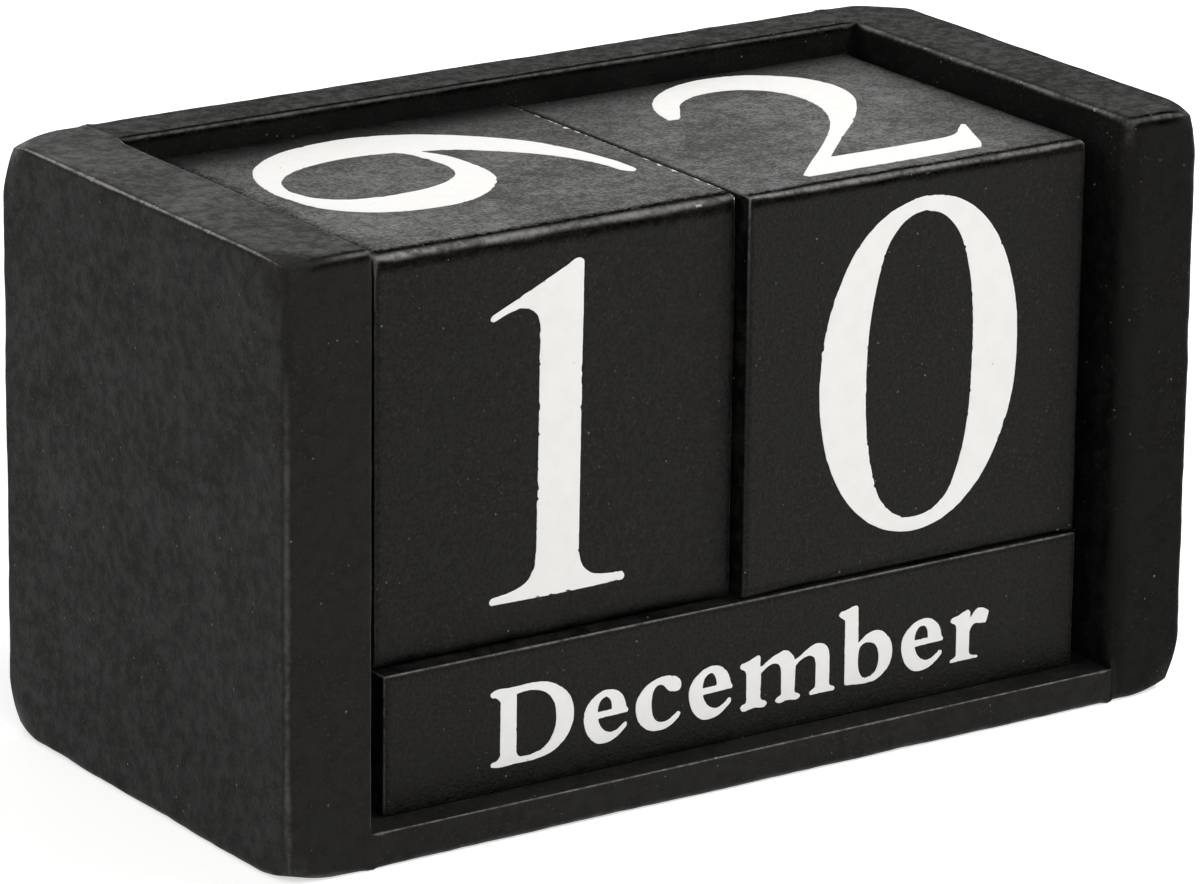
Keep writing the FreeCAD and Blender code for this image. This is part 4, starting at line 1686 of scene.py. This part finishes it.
@dataclass
class OpenBox:
    """The open box: two side panels, a back panel and a base panel glued edge to face.

    Attributes:
        radius: Edge radius of the boards, in millimetres.
        rim_radius: Radius of the side panels' inner top edges.
        brow_radius: Radius of their front top edges.
        overlap: How far a glued board's skin reaches into its neighbour.
    """

    radius: float = 1.1
    rim_radius: float = 0.8
    brow_radius: float = 0.85
    overlap: float = 0.15

    def boards(self) -> List[PaintedBlock]:
        """Describe the four boards with their edges and knocked corners.

        Returns:
            The left and right side panels, the back panel and the base panel.
        """
        left, right, front = Side.LEFT, Side.RIGHT, Side.FRONT
        back, bottom, top = Side.BACK, Side.BOTTOM, Side.TOP
        # The edges carry wear with a painted highlight, and painted shade lines beside them
        left_panel = self._side_panel(
            "left_side_panel", left, right,
            knocks={(front, top): 1.8, (back, top): 2.3, (front, bottom): 1.9, (back, bottom): 1.6},
            wear_and_highlight={(left, top): 0.95, (right, top): 0.95, (right, front): 0.10, (top, front): 0.55},
            flecks={(left, top): 0.20},
            chips=[
                Chip((left, top, front), size=6.5, amount=-0.6),
                Chip((right, top, front), size=16.0, amount=-0.25),
            ],
            front_radius=0.45,
            outer_radius=0.5,
        )
        right_panel = self._side_panel(
            "right_side_panel", right, left,
            knocks={(front, top): 0.6, (back, top): 1.3, (front, bottom): 2.0, (back, bottom): 1.7},
            wear_and_highlight={(left, top): 0.38, (right, top): 0.22, (left, front): 0.0, (top, front): 0.20},
            flecks={(left, top): 0.26},
            chips=[],
            front_radius=2.3,
            outer_radius=0.75,
        )
        back_panel = PaintedBlock(
            "back_panel", "box", "box_board", self.radius,
            radii={(front, top): 0.6},
            wear_and_highlight={(front, top): 0.20},
            painted_shade_lines={(front, top): 0.8},
            joints=(
                Joint(left, "left_side_panel", self.overlap),
                Joint(right, "right_side_panel", self.overlap),
                Joint(front, "base_panel"),
            ),
        )
        base_panel = PaintedBlock(
            "base_panel", "box", "box_board", self.radius,
            radii={(front, top): 0.3},
            wear_and_highlight={(front, top): 0.35},
            flecks={(front, top): 0.12},
            joints=(
                Joint(left, "left_side_panel", self.overlap),
                Joint(right, "right_side_panel", self.overlap),
                Joint(back, "back_panel", self.overlap),
            ),
        )
        return [left_panel, right_panel, back_panel, base_panel]

    def _side_panel(
        self,
        node: str,
        outer: Side,
        inner: Side,
        knocks: Dict[Edge, float],
        wear_and_highlight: Dict[Edge, float],
        flecks: Dict[Edge, float],
        chips: Sequence[Chip],
        front_radius: float,
        outer_radius: float,
    ) -> PaintedBlock:
        """Describe one side panel, knocked at the four corners of its outer side.

        Args:
            node: CAD node of the panel.
            outer: Its outer side.
            inner: Its side towards the cubes.
            knocks: How much is gone at each outer corner, by the other two sides there.
            wear_and_highlight: Wear and painted highlight of its edges.
            flecks: How freely paint has chipped off its edges.
            chips: Corners with more or less wear and painted highlight than their edges.
            front_radius: Radius of its inner front edge.
            outer_radius: Radius of its outer top edge.

        Returns:
            The panel.
        """
        front, back, top = Side.FRONT, Side.BACK, Side.TOP
        return PaintedBlock(
            node, "box", "box_board", self.radius,
            radii={
                (outer, top): outer_radius,
                (inner, top): self.rim_radius,
                (inner, front): front_radius,
                (top, front): self.brow_radius,
            },
            wear_and_highlight=wear_and_highlight,
            flecks=flecks,
            # Painted shade lines beside the edges
            painted_shade_lines={(top, front): 0.7, (inner, top): 0.12, (outer, top): 0.2},
            chips=chips,
            knocks=[Knock((outer, *pair), amount) for pair, amount in knocks.items()],
            joints=(Joint(inner, "base_panel"), Joint(inner, "back_panel")),
        )

    def build(self, paint: Any, shaded_paint: Any) -> List[Any]:
        """Make the four boards.

        Args:
            paint: Material of the left side panel and the base.
            shaded_paint: Material of the right side panel and the back, a duller copy of the box paint that
                paints them in shade.

        Returns:
            The boards' skins.
        """
        # The right side panel and the back get the duller copy, as painted shade
        shaded = ("right_side_panel", "back_panel")
        return [board.build(shaded_paint if board.node in shaded else paint) for board in self.boards()]


@dataclass
class DateCube:
    """A date cube with a numeral printed on each of its six faces.

    Attributes:
        node: CAD node of the cube.
        body: Body that it rides on.
        numerals: Numeral on each face, and its quarter turns.
        seed: Seed of the numerals' ragged edges.
        radii: Radius of single edges, where it differs.
        wear_and_highlight: How much wear and painted highlight single edges carry.
        painted_shade_lines: How dark the painted shade lines along single edges are.
        flecks: How freely paint has flecked off single edges.
        reach: How far single sides stand out from the CAD node.
        chips: Corners with more or less wear and painted highlight.
        radius: Radius of all other edges.
        pitch: Grid step of the numerals, in millimetres.
        ragged: How far their outlines stray.
        filling: Step of the points inside them.
    """

    node: str
    body: str
    numerals: Dict[Side, Tuple[str, int]]
    seed: int
    radii: Dict[Edge, float]
    wear_and_highlight: Dict[Edge, float]
    painted_shade_lines: Dict[Edge, float]
    flecks: Dict[Edge, float]
    reach: Dict[Side, float]
    chips: Sequence[Chip]
    radius: float = 0.4
    pitch: float = 0.15
    ragged: float = 0.07
    filling: float = 1.5

    def build(self, black: Any, white: Any) -> List[Any]:
        """Make the cube and its numerals.

        Args:
            black: Material of the cube.
            white: Material of the numerals.

        Returns:
            The cube's skin, and then its numerals.
        """
        top, front, back = Side.TOP, Side.FRONT, Side.BACK
        # Edges with wear and a painted highlight, and painted shade lines beside them
        block = PaintedBlock(
            self.node, self.body, "date_block", self.radius,
            radii={(top, back): 0.9, (front, Side.BOTTOM): 0.9, **self.radii},
            wear_and_highlight={(front, Side.BOTTOM): 0.0, **self.wear_and_highlight},
            painted_shade_lines={(top, front): 1.0, **self.painted_shade_lines},
            flecks=self.flecks,
            reach=self.reach,
            chips=self.chips,
            base_crease=0.3,
            fringe=0.8,
        )
        made = [block.build(black)]
        for number, (side, (digit, turn)) in enumerate(self.numerals.items()):
            origin, right, up = face_frame(block, side, turn)
            name = "%s_%s_numeral" % (self.node, side.name.lower())
            film = Print(name, self.body, origin, right, up, self.pitch, self.ragged, self.filling)
            film.add_glyph(NUMERALS[digit], (0.0, 0.0), self.seed + number)
            made.append(film.finish(white))
        return made


@dataclass
class MonthBar:
    """A square bar with a month's name printed on each of its four long faces.

    Attributes:
        node: CAD node of the bar.
        body: Body that it rides on.
        months: Name on each long face.
        seed: Seed of the letters' ragged edges.
        photographed: The face that the photograph shows, if it shows one.
        baseline: Height of the letters' baseline on that face, in millimetres.
        hidden_rise: How much higher the baseline is on the other faces.
        tilt: How much the baseline rises along a name.
        shift: How far right of the middle a name stands.
        radius: Radius of the bar's edges.
        pitch: Grid step of the letters.
        ragged: How far their outlines stray.
        filling: Step of the points inside them.
    """

    node: str
    body: str
    months: Dict[Side, str]
    seed: int
    photographed: Optional[Side] = None
    baseline: float = 3.05
    hidden_rise: float = 0.9
    tilt: float = 0.008
    shift: float = 1.2
    radius: float = 0.4
    pitch: float = 0.07
    ragged: float = 0.03
    filling: float = 0.7

    def build(self, black: Any, white: Any) -> List[Any]:
        """Make the bar and its month names.

        Args:
            black: Material of the bar.
            white: Material of the names.

        Returns:
            The bar's skin, and then its names.
        """
        # Painted highlight with wear on the top front edge, and painted shade lines along all edges
        block = PaintedBlock(
            self.node, self.body, "month_bar", self.radius,
            wear_and_highlight={(Side.TOP, Side.FRONT): 0.30},
            base_crease=0.3,
        )
        made = [block.build(black)]
        for number, (side, month) in enumerate(self.months.items()):
            origin, right, up = face_frame(block, side, 0)
            name = "%s_%s_name" % (self.node, side.name.lower())
            film = Print(name, self.body, origin, right, up, self.pitch, self.ragged, self.filling)
            length = sum(LETTERS[letter][0] for letter in month)
            start = 0.5 * (block.high[0] - block.low[0] - length) + self.shift
            rise = 0.0 if side is self.photographed else self.hidden_rise
            at = start
            for place, letter in enumerate(month):
                advance, outlines = LETTERS[letter]
                lift = self.baseline + rise + self.tilt * (at - start)
                film.add_glyph(outlines, (at, lift), self.seed + 20 * number + place)
                at += advance
            made.append(film.finish(white))
        return made


@dataclass
class DustNibs:
    """Specks of dust caught under the paint, scattered over the blocks by geometry nodes.

    Attributes:
        density: Specks to the square metre where they lie close.
        size: Radius of the largest specks, in metres.
        seed: Seed of their places.
        clump_mm: Distance between places where they lie close.
        smallest: Size of the smallest specks, as a share of the largest.
        flatness: Height of a speck, as a share of its width.
        lowest: How far down a face may look and still catch dust.
    """

    density: float = 30000.0
    size: float = 0.19 * MM
    seed: int = 7
    clump_mm: float = 7.0
    smallest: float = 0.35
    flatness: float = 0.2
    lowest: float = -0.5

    def tree(self) -> Any:
        """Build the scattering tree.

        Returns:
            The tree, a group of geometry nodes.
        """
        group = bpy.data.node_groups.new("dust_nibs", "GeometryNodeTree")
        face = group.interface
        face.new_socket(name="Geometry", in_out="INPUT", socket_type="NodeSocketGeometry")
        for name, kind in (("Density", "Float"), ("Size", "Float"), ("Seed", "Int"), ("Paint", "Material")):
            face.new_socket(name=name, in_out="INPUT", socket_type="NodeSocket" + kind)
        face.new_socket(name="Geometry", in_out="OUTPUT", socket_type="NodeSocketGeometry")

        maker = NodeMaker(group)
        given = maker.make("NodeGroupInput", {}, {}).outputs
        direction = maker.make("GeometryNodeInputNormal", {}, {}).outputs[0]
        upward = Value(maker, maker.make("ShaderNodeSeparateXYZ", {}, {0: direction}).outputs[2])
        clumps = maker.make("ShaderNodeTexNoise", {}, {"Scale": 1.0 / (self.clump_mm * MM), "Detail": 2.0})
        share = 0.15 + 1.7 * Value(maker, clumps.outputs["Fac"]).ramp(0.38, 0.66)
        points = maker.make(
            "GeometryNodeDistributePointsOnFaces",
            {},
            {
                "Mesh": given["Geometry"],
                "Selection": upward.above(self.lowest),
                "Density": share * Value(maker, given["Density"]),
                "Seed": given["Seed"],
            },
        )
        speck = maker.make("GeometryNodeMeshIcoSphere", {}, {"Radius": 1.0, "Subdivisions": 1})
        width = maker.make(
            "FunctionNodeRandomValue",
            {"data_type": "FLOAT"},
            {2: self.smallest, 3: 1.0, "Seed": given["Seed"]},
        )
        across = Value(maker, width.outputs[1]) * Value(maker, given["Size"])
        scale = maker.make(
            "ShaderNodeCombineXYZ", {}, {"X": across, "Y": across, "Z": self.flatness * across}
        )
        placed = maker.make(
            "GeometryNodeInstanceOnPoints",
            {},
            {
                "Points": points.outputs["Points"],
                "Instance": speck.outputs[0],
                "Rotation": points.outputs["Rotation"],
                "Scale": scale.outputs[0],
            },
        )
        real = maker.make("GeometryNodeRealizeInstances", {}, {"Geometry": placed.outputs[0]})
        smooth = maker.make("GeometryNodeSetShadeSmooth", {}, {"Geometry": real.outputs[0]})
        painted = maker.make(
            "GeometryNodeSetMaterial", {}, {"Geometry": smooth.outputs[0], "Material": given["Paint"]}
        )
        maker.make("NodeGroupOutput", {}, {0: painted.outputs[0]})
        return group

    def scatter(self, tree: Any, block: Any, body: str, paint: Any, seed: int) -> Any:
        """Scatter nibs over one block.

        Args:
            tree: The scattering tree.
            block: The painted block.
            body: Body that the nibs ride on.
            paint: Material of the nibs.
            seed: Added to the seed of their places.

        Returns:
            The nibs as one plain mesh object.
        """
        holder = add_object("nib_holder", block.data)
        modifier = holder.modifiers.new("nibs", "NODES")
        modifier.node_group = tree
        names = {item.name: item.identifier for item in tree.interface.items_tree if item.in_out == "INPUT"}
        modifier[names["Density"]] = self.density
        modifier[names["Size"]] = self.size
        modifier[names["Seed"]] = self.seed + seed
        modifier[names["Paint"]] = paint
        holder.update_tag()
        graph = bpy.context.evaluated_depsgraph_get()
        graph.update()
        mesh = bpy.data.meshes.new_from_object(holder.evaluated_get(graph), depsgraph=graph)
        bpy.data.objects.remove(holder)
        nibs = add_object(block.name.replace("_skin", "_nibs"), mesh)
        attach(nibs, body)
        LOG.info("%s: %d points", nibs.name, len(mesh.vertices))
        return nibs


@dataclass(frozen=True)
class Softbox:
    """One soft lamp.

    Attributes:
        name: Name of the lamp.
        at: Where it stands, in metres.
        size: Its width and height, in metres.
        watts: Its strength.
    """

    name: str
    at: Tuple[float, float, float]
    size: Tuple[float, float]
    watts: float


@dataclass
class Studio:
    """Plain soft studio light, a pale floor and the camera of the photograph.

    Attributes:
        camera_at: Where the camera stands, in metres.
        yaw: Where it looks, in degrees clockwise from straight ahead.
        pitch: How far up it looks, in degrees.
        roll: How far it is tilted, in degrees.
        lens: Its focal length, in millimetres.
        sensor: Width of its sensor, in millimetres.
        softboxes: The lamps.
        lamp_tint: Colour of their light.
        aim_height: Height that they face, in metres.
        room: Strength of the room's even light.
        floor_reach: Half the width of the floor, in metres.
    """

    camera_at: Tuple[float, float, float] = (-0.442584, -0.649967, 0.281627)
    yaw: float = 34.2298
    pitch: float = -17.5479
    roll: float = 0.6788
    lens: float = 212.03
    sensor: float = 36.0
    softboxes: Tuple[Softbox, ...] = (
        Softbox("back_softbox", (0.55, 0.80, 0.33), (1.2, 0.36), 2.6),
        Softbox("front_softbox", (-0.35, -0.95, 0.75), (0.7, 0.7), 5.2),
        Softbox("side_softbox", (-1.0, 0.1, 0.55), (0.6, 0.6), 3.2),
        Softbox("top_softbox", (0.55, -0.36, 0.80), (0.45, 0.35), 6.4),
    )
    lamp_tint: Colour = (1.0, 0.985, 0.96)
    aim_height: float = 0.035
    room: float = 0.25
    floor_reach: float = 4.0

    def camera(self) -> Any:
        """Place the camera as the photograph was taken.

        Returns:
            The camera.
        """
        yaw, pitch, roll = np.radians([self.yaw, self.pitch, self.roll])
        ahead = Vector((np.sin(yaw) * np.cos(pitch), np.cos(yaw) * np.cos(pitch), np.sin(pitch)))
        level = Vector((np.cos(yaw), -np.sin(yaw), 0.0))
        upward = level.cross(ahead)
        right = level * np.cos(roll) + upward * np.sin(roll)
        up = upward * np.cos(roll) - level * np.sin(roll)
        turn = Matrix((right, up, -ahead)).transposed().to_4x4()
        data = bpy.data.cameras.new("photo_camera")
        data.lens = self.lens
        data.sensor_width = self.sensor
        data.clip_start = 0.05
        data.clip_end = 20.0
        camera = add_object("photo_camera", data)
        camera.matrix_world = Matrix.Translation(self.camera_at) @ turn
        bpy.context.scene.camera = camera
        return camera

    def lamp(self, softbox: Softbox) -> Any:
        """Add one soft lamp that faces the calendar.

        Args:
            softbox: The lamp's place, size and strength.

        Returns:
            The lamp.
        """
        data = bpy.data.lights.new(softbox.name, "AREA")
        data.shape = "RECTANGLE"
        data.size, data.size_y = softbox.size
        data.energy = softbox.watts
        data.color = self.lamp_tint
        lamp = add_object(softbox.name, data)
        aim = Vector((0.0, 0.0, self.aim_height)) - Vector(softbox.at)
        lamp.rotation_mode = "QUATERNION"
        lamp.rotation_quaternion = aim.to_track_quat("-Z", "Y")
        lamp.location = softbox.at
        return lamp

    def world(self) -> None:
        """Light the room evenly, and show it white to the camera and to glossy surfaces."""
        world = bpy.data.worlds.new("studio")
        bpy.context.scene.world = world
        world.use_nodes = True
        maker = NodeMaker(world.node_tree)
        path = maker.make("ShaderNodeLightPath", {}, {}).outputs
        seen = Value(maker, path["Is Camera Ray"]) + Value(maker, path["Is Glossy Ray"])
        seen = (seen + Value(maker, path["Is Transmission Ray"])).clamp()
        room = maker.make("ShaderNodeBackground", {}, {"Color": WHITE, "Strength": self.room})
        backdrop = maker.make("ShaderNodeBackground", {}, {"Color": WHITE, "Strength": 1.0})
        mix = maker.make("ShaderNodeMixShader", {}, {0: seen, 1: room.outputs[0], 2: backdrop.outputs[0]})
        maker.make("ShaderNodeOutputWorld", {}, {"Surface": mix.outputs[0]})

    def floor(self, paper: Any) -> Any:
        """Lay the pale floor.

        Args:
            paper: Material of the floor.

        Returns:
            The floor.
        """
        mesh = bpy.data.meshes.new("floor")
        reach = self.floor_reach
        corners = [(-reach, -reach, 0), (reach, -reach, 0), (reach, reach, 0), (-reach, reach, 0)]
        mesh.from_pydata(corners, [], [(0, 1, 2, 3)])
        mesh.materials.append(paper)
        floor = add_object("floor", mesh)
        return floor

    def build(self) -> None:
        """Make the camera, the lamps, the world and the floor."""
        self.camera()
        for softbox in self.softboxes:
            self.lamp(softbox)
        self.world()
        self.floor(StudioPaper("studio_paper").material())


def date_cubes() -> Tuple[DateCube, DateCube]:
    """Describe the two date cubes as they lie in the photograph.

    Returns:
        The left cube and the right cube.
    """
    front, back, left = Side.FRONT, Side.BACK, Side.LEFT
    right, top, bottom = Side.RIGHT, Side.TOP, Side.BOTTOM
    # Wear with a painted highlight, painted shade lines and chips differ from edge to edge
    left_cube = DateCube(
        "date_cube_left", "left_date_cube",
        {
            front: ("1", 0), top: ("6", 1), back: ("0", 2),
            left: ("7", 0), right: ("8", 1), bottom: ("2", 2),
        },
        seed=100,
        radii={(top, front): 1.35, (left, top): 1.3, (right, top): 0.2, (left, front): 0.2},
        wear_and_highlight={
            (top, front): 0.34, (right, top): 0.15, (left, top): 0.0,
            (right, front): 0.15, (left, front): 0.0,
        },
        painted_shade_lines={(left, top): 0.36, (right, top): 0.0},
        flecks={(right, top): 0.62, (top, front): 0.06},
        reach={right: 0.42},
        chips=(
            Chip((left, front, top), size=0.5, amount=0.8),
            Chip((left, front, top), size=16.0, amount=0.2),
        ),
    )
    right_cube = DateCube(
        "date_cube_right", "right_date_cube",
        {
            front: ("0", 0), top: ("2", 0), back: ("3", 2),
            left: ("4", 0), right: ("5", 3), bottom: ("1", 1),
        },
        seed=200,
        radii={(top, front): 0.95, (left, top): 0.3, (right, top): 1.0},
        wear_and_highlight={
            (top, front): 0.37, (left, top): 0.05, (right, top): 0.15,
            (left, front): 0.0, (right, front): 0.0,
        },
        painted_shade_lines={(left, top): 0.0, (right, top): 0.4},
        flecks={(top, front): 0.06},
        reach={left: 0.05},
        chips=(
            Chip((left, front, top), size=12.0, amount=0.15),
            Chip((right, front, top), size=2.0, amount=0.2),
        ),
    )
    return left_cube, right_cube


def month_bars() -> Tuple[MonthBar, MonthBar, MonthBar]:
    """Describe the three month bars, with December in front.

    Returns:
        The rear bar, the middle bar and the front bar.
    """
    front, back, top, bottom = Side.FRONT, Side.BACK, Side.TOP, Side.BOTTOM
    return (
        MonthBar(
            "month_bar_rear", "rear_month_bar",
            {front: "January", top: "February", back: "March", bottom: "April"}, 300,
        ),
        MonthBar(
            "month_bar_middle", "middle_month_bar",
            {front: "May", top: "June", back: "July", bottom: "August"}, 400,
        ),
        MonthBar(
            "month_bar_front", "front_month_bar",
            {front: "December", top: "October", back: "November", bottom: "September"}, 500,
            photographed=front,
        ),
    )


def main() -> None:
    """Build the studio and every piece of the calendar in order."""
    logging.basicConfig(level=logging.INFO, format="%(name)s %(message)s")
    scene = bpy.context.scene
    scene.view_settings.view_transform = "Standard"
    Studio().build()

    box_paint = BlackPaint(
        "black_paint_box", pale=(0.0062, 0.0060, 0.0057), worn=(0.28, 0.275, 0.265),
        roughness=0.64, gloss=0.18, dullness=0.36, fineness=0.35, relief_mm=0.13,
    )
    # Painted shade: a duller copy of the box paint makes the right side panel and the back shine less, so
    # that they look shaded
    shaded_box_paint = replace(
        box_paint, name="black_paint_box_dull", gloss=0.15, dullness=0.95, evenness=0.65
    )
    cube_paint = BlackPaint("black_paint_cubes").material()
    bar_paint = BlackPaint("black_paint_bars").material()
    dust = DustPaint("dust").material()
    white = WhitePaint("white_print").material()

    nibs = DustNibs()
    tree = nibs.tree()
    boards = OpenBox().build(box_paint.material(), shaded_box_paint.material())
    for number, board in enumerate(boards):
        nibs.scatter(tree, board, "box", dust, number)
    for number, cube in enumerate(date_cubes()):
        skin = cube.build(cube_paint, white)[0]
        nibs.scatter(tree, skin, cube.body, dust, CUBE_DUST_SEED + number)
    for number, bar in enumerate(month_bars()):
        skin = bar.build(bar_paint, white)[0]
        nibs.scatter(tree, skin, bar.body, dust, BAR_DUST_SEED + number)


if __name__ == "__main__":
    main()
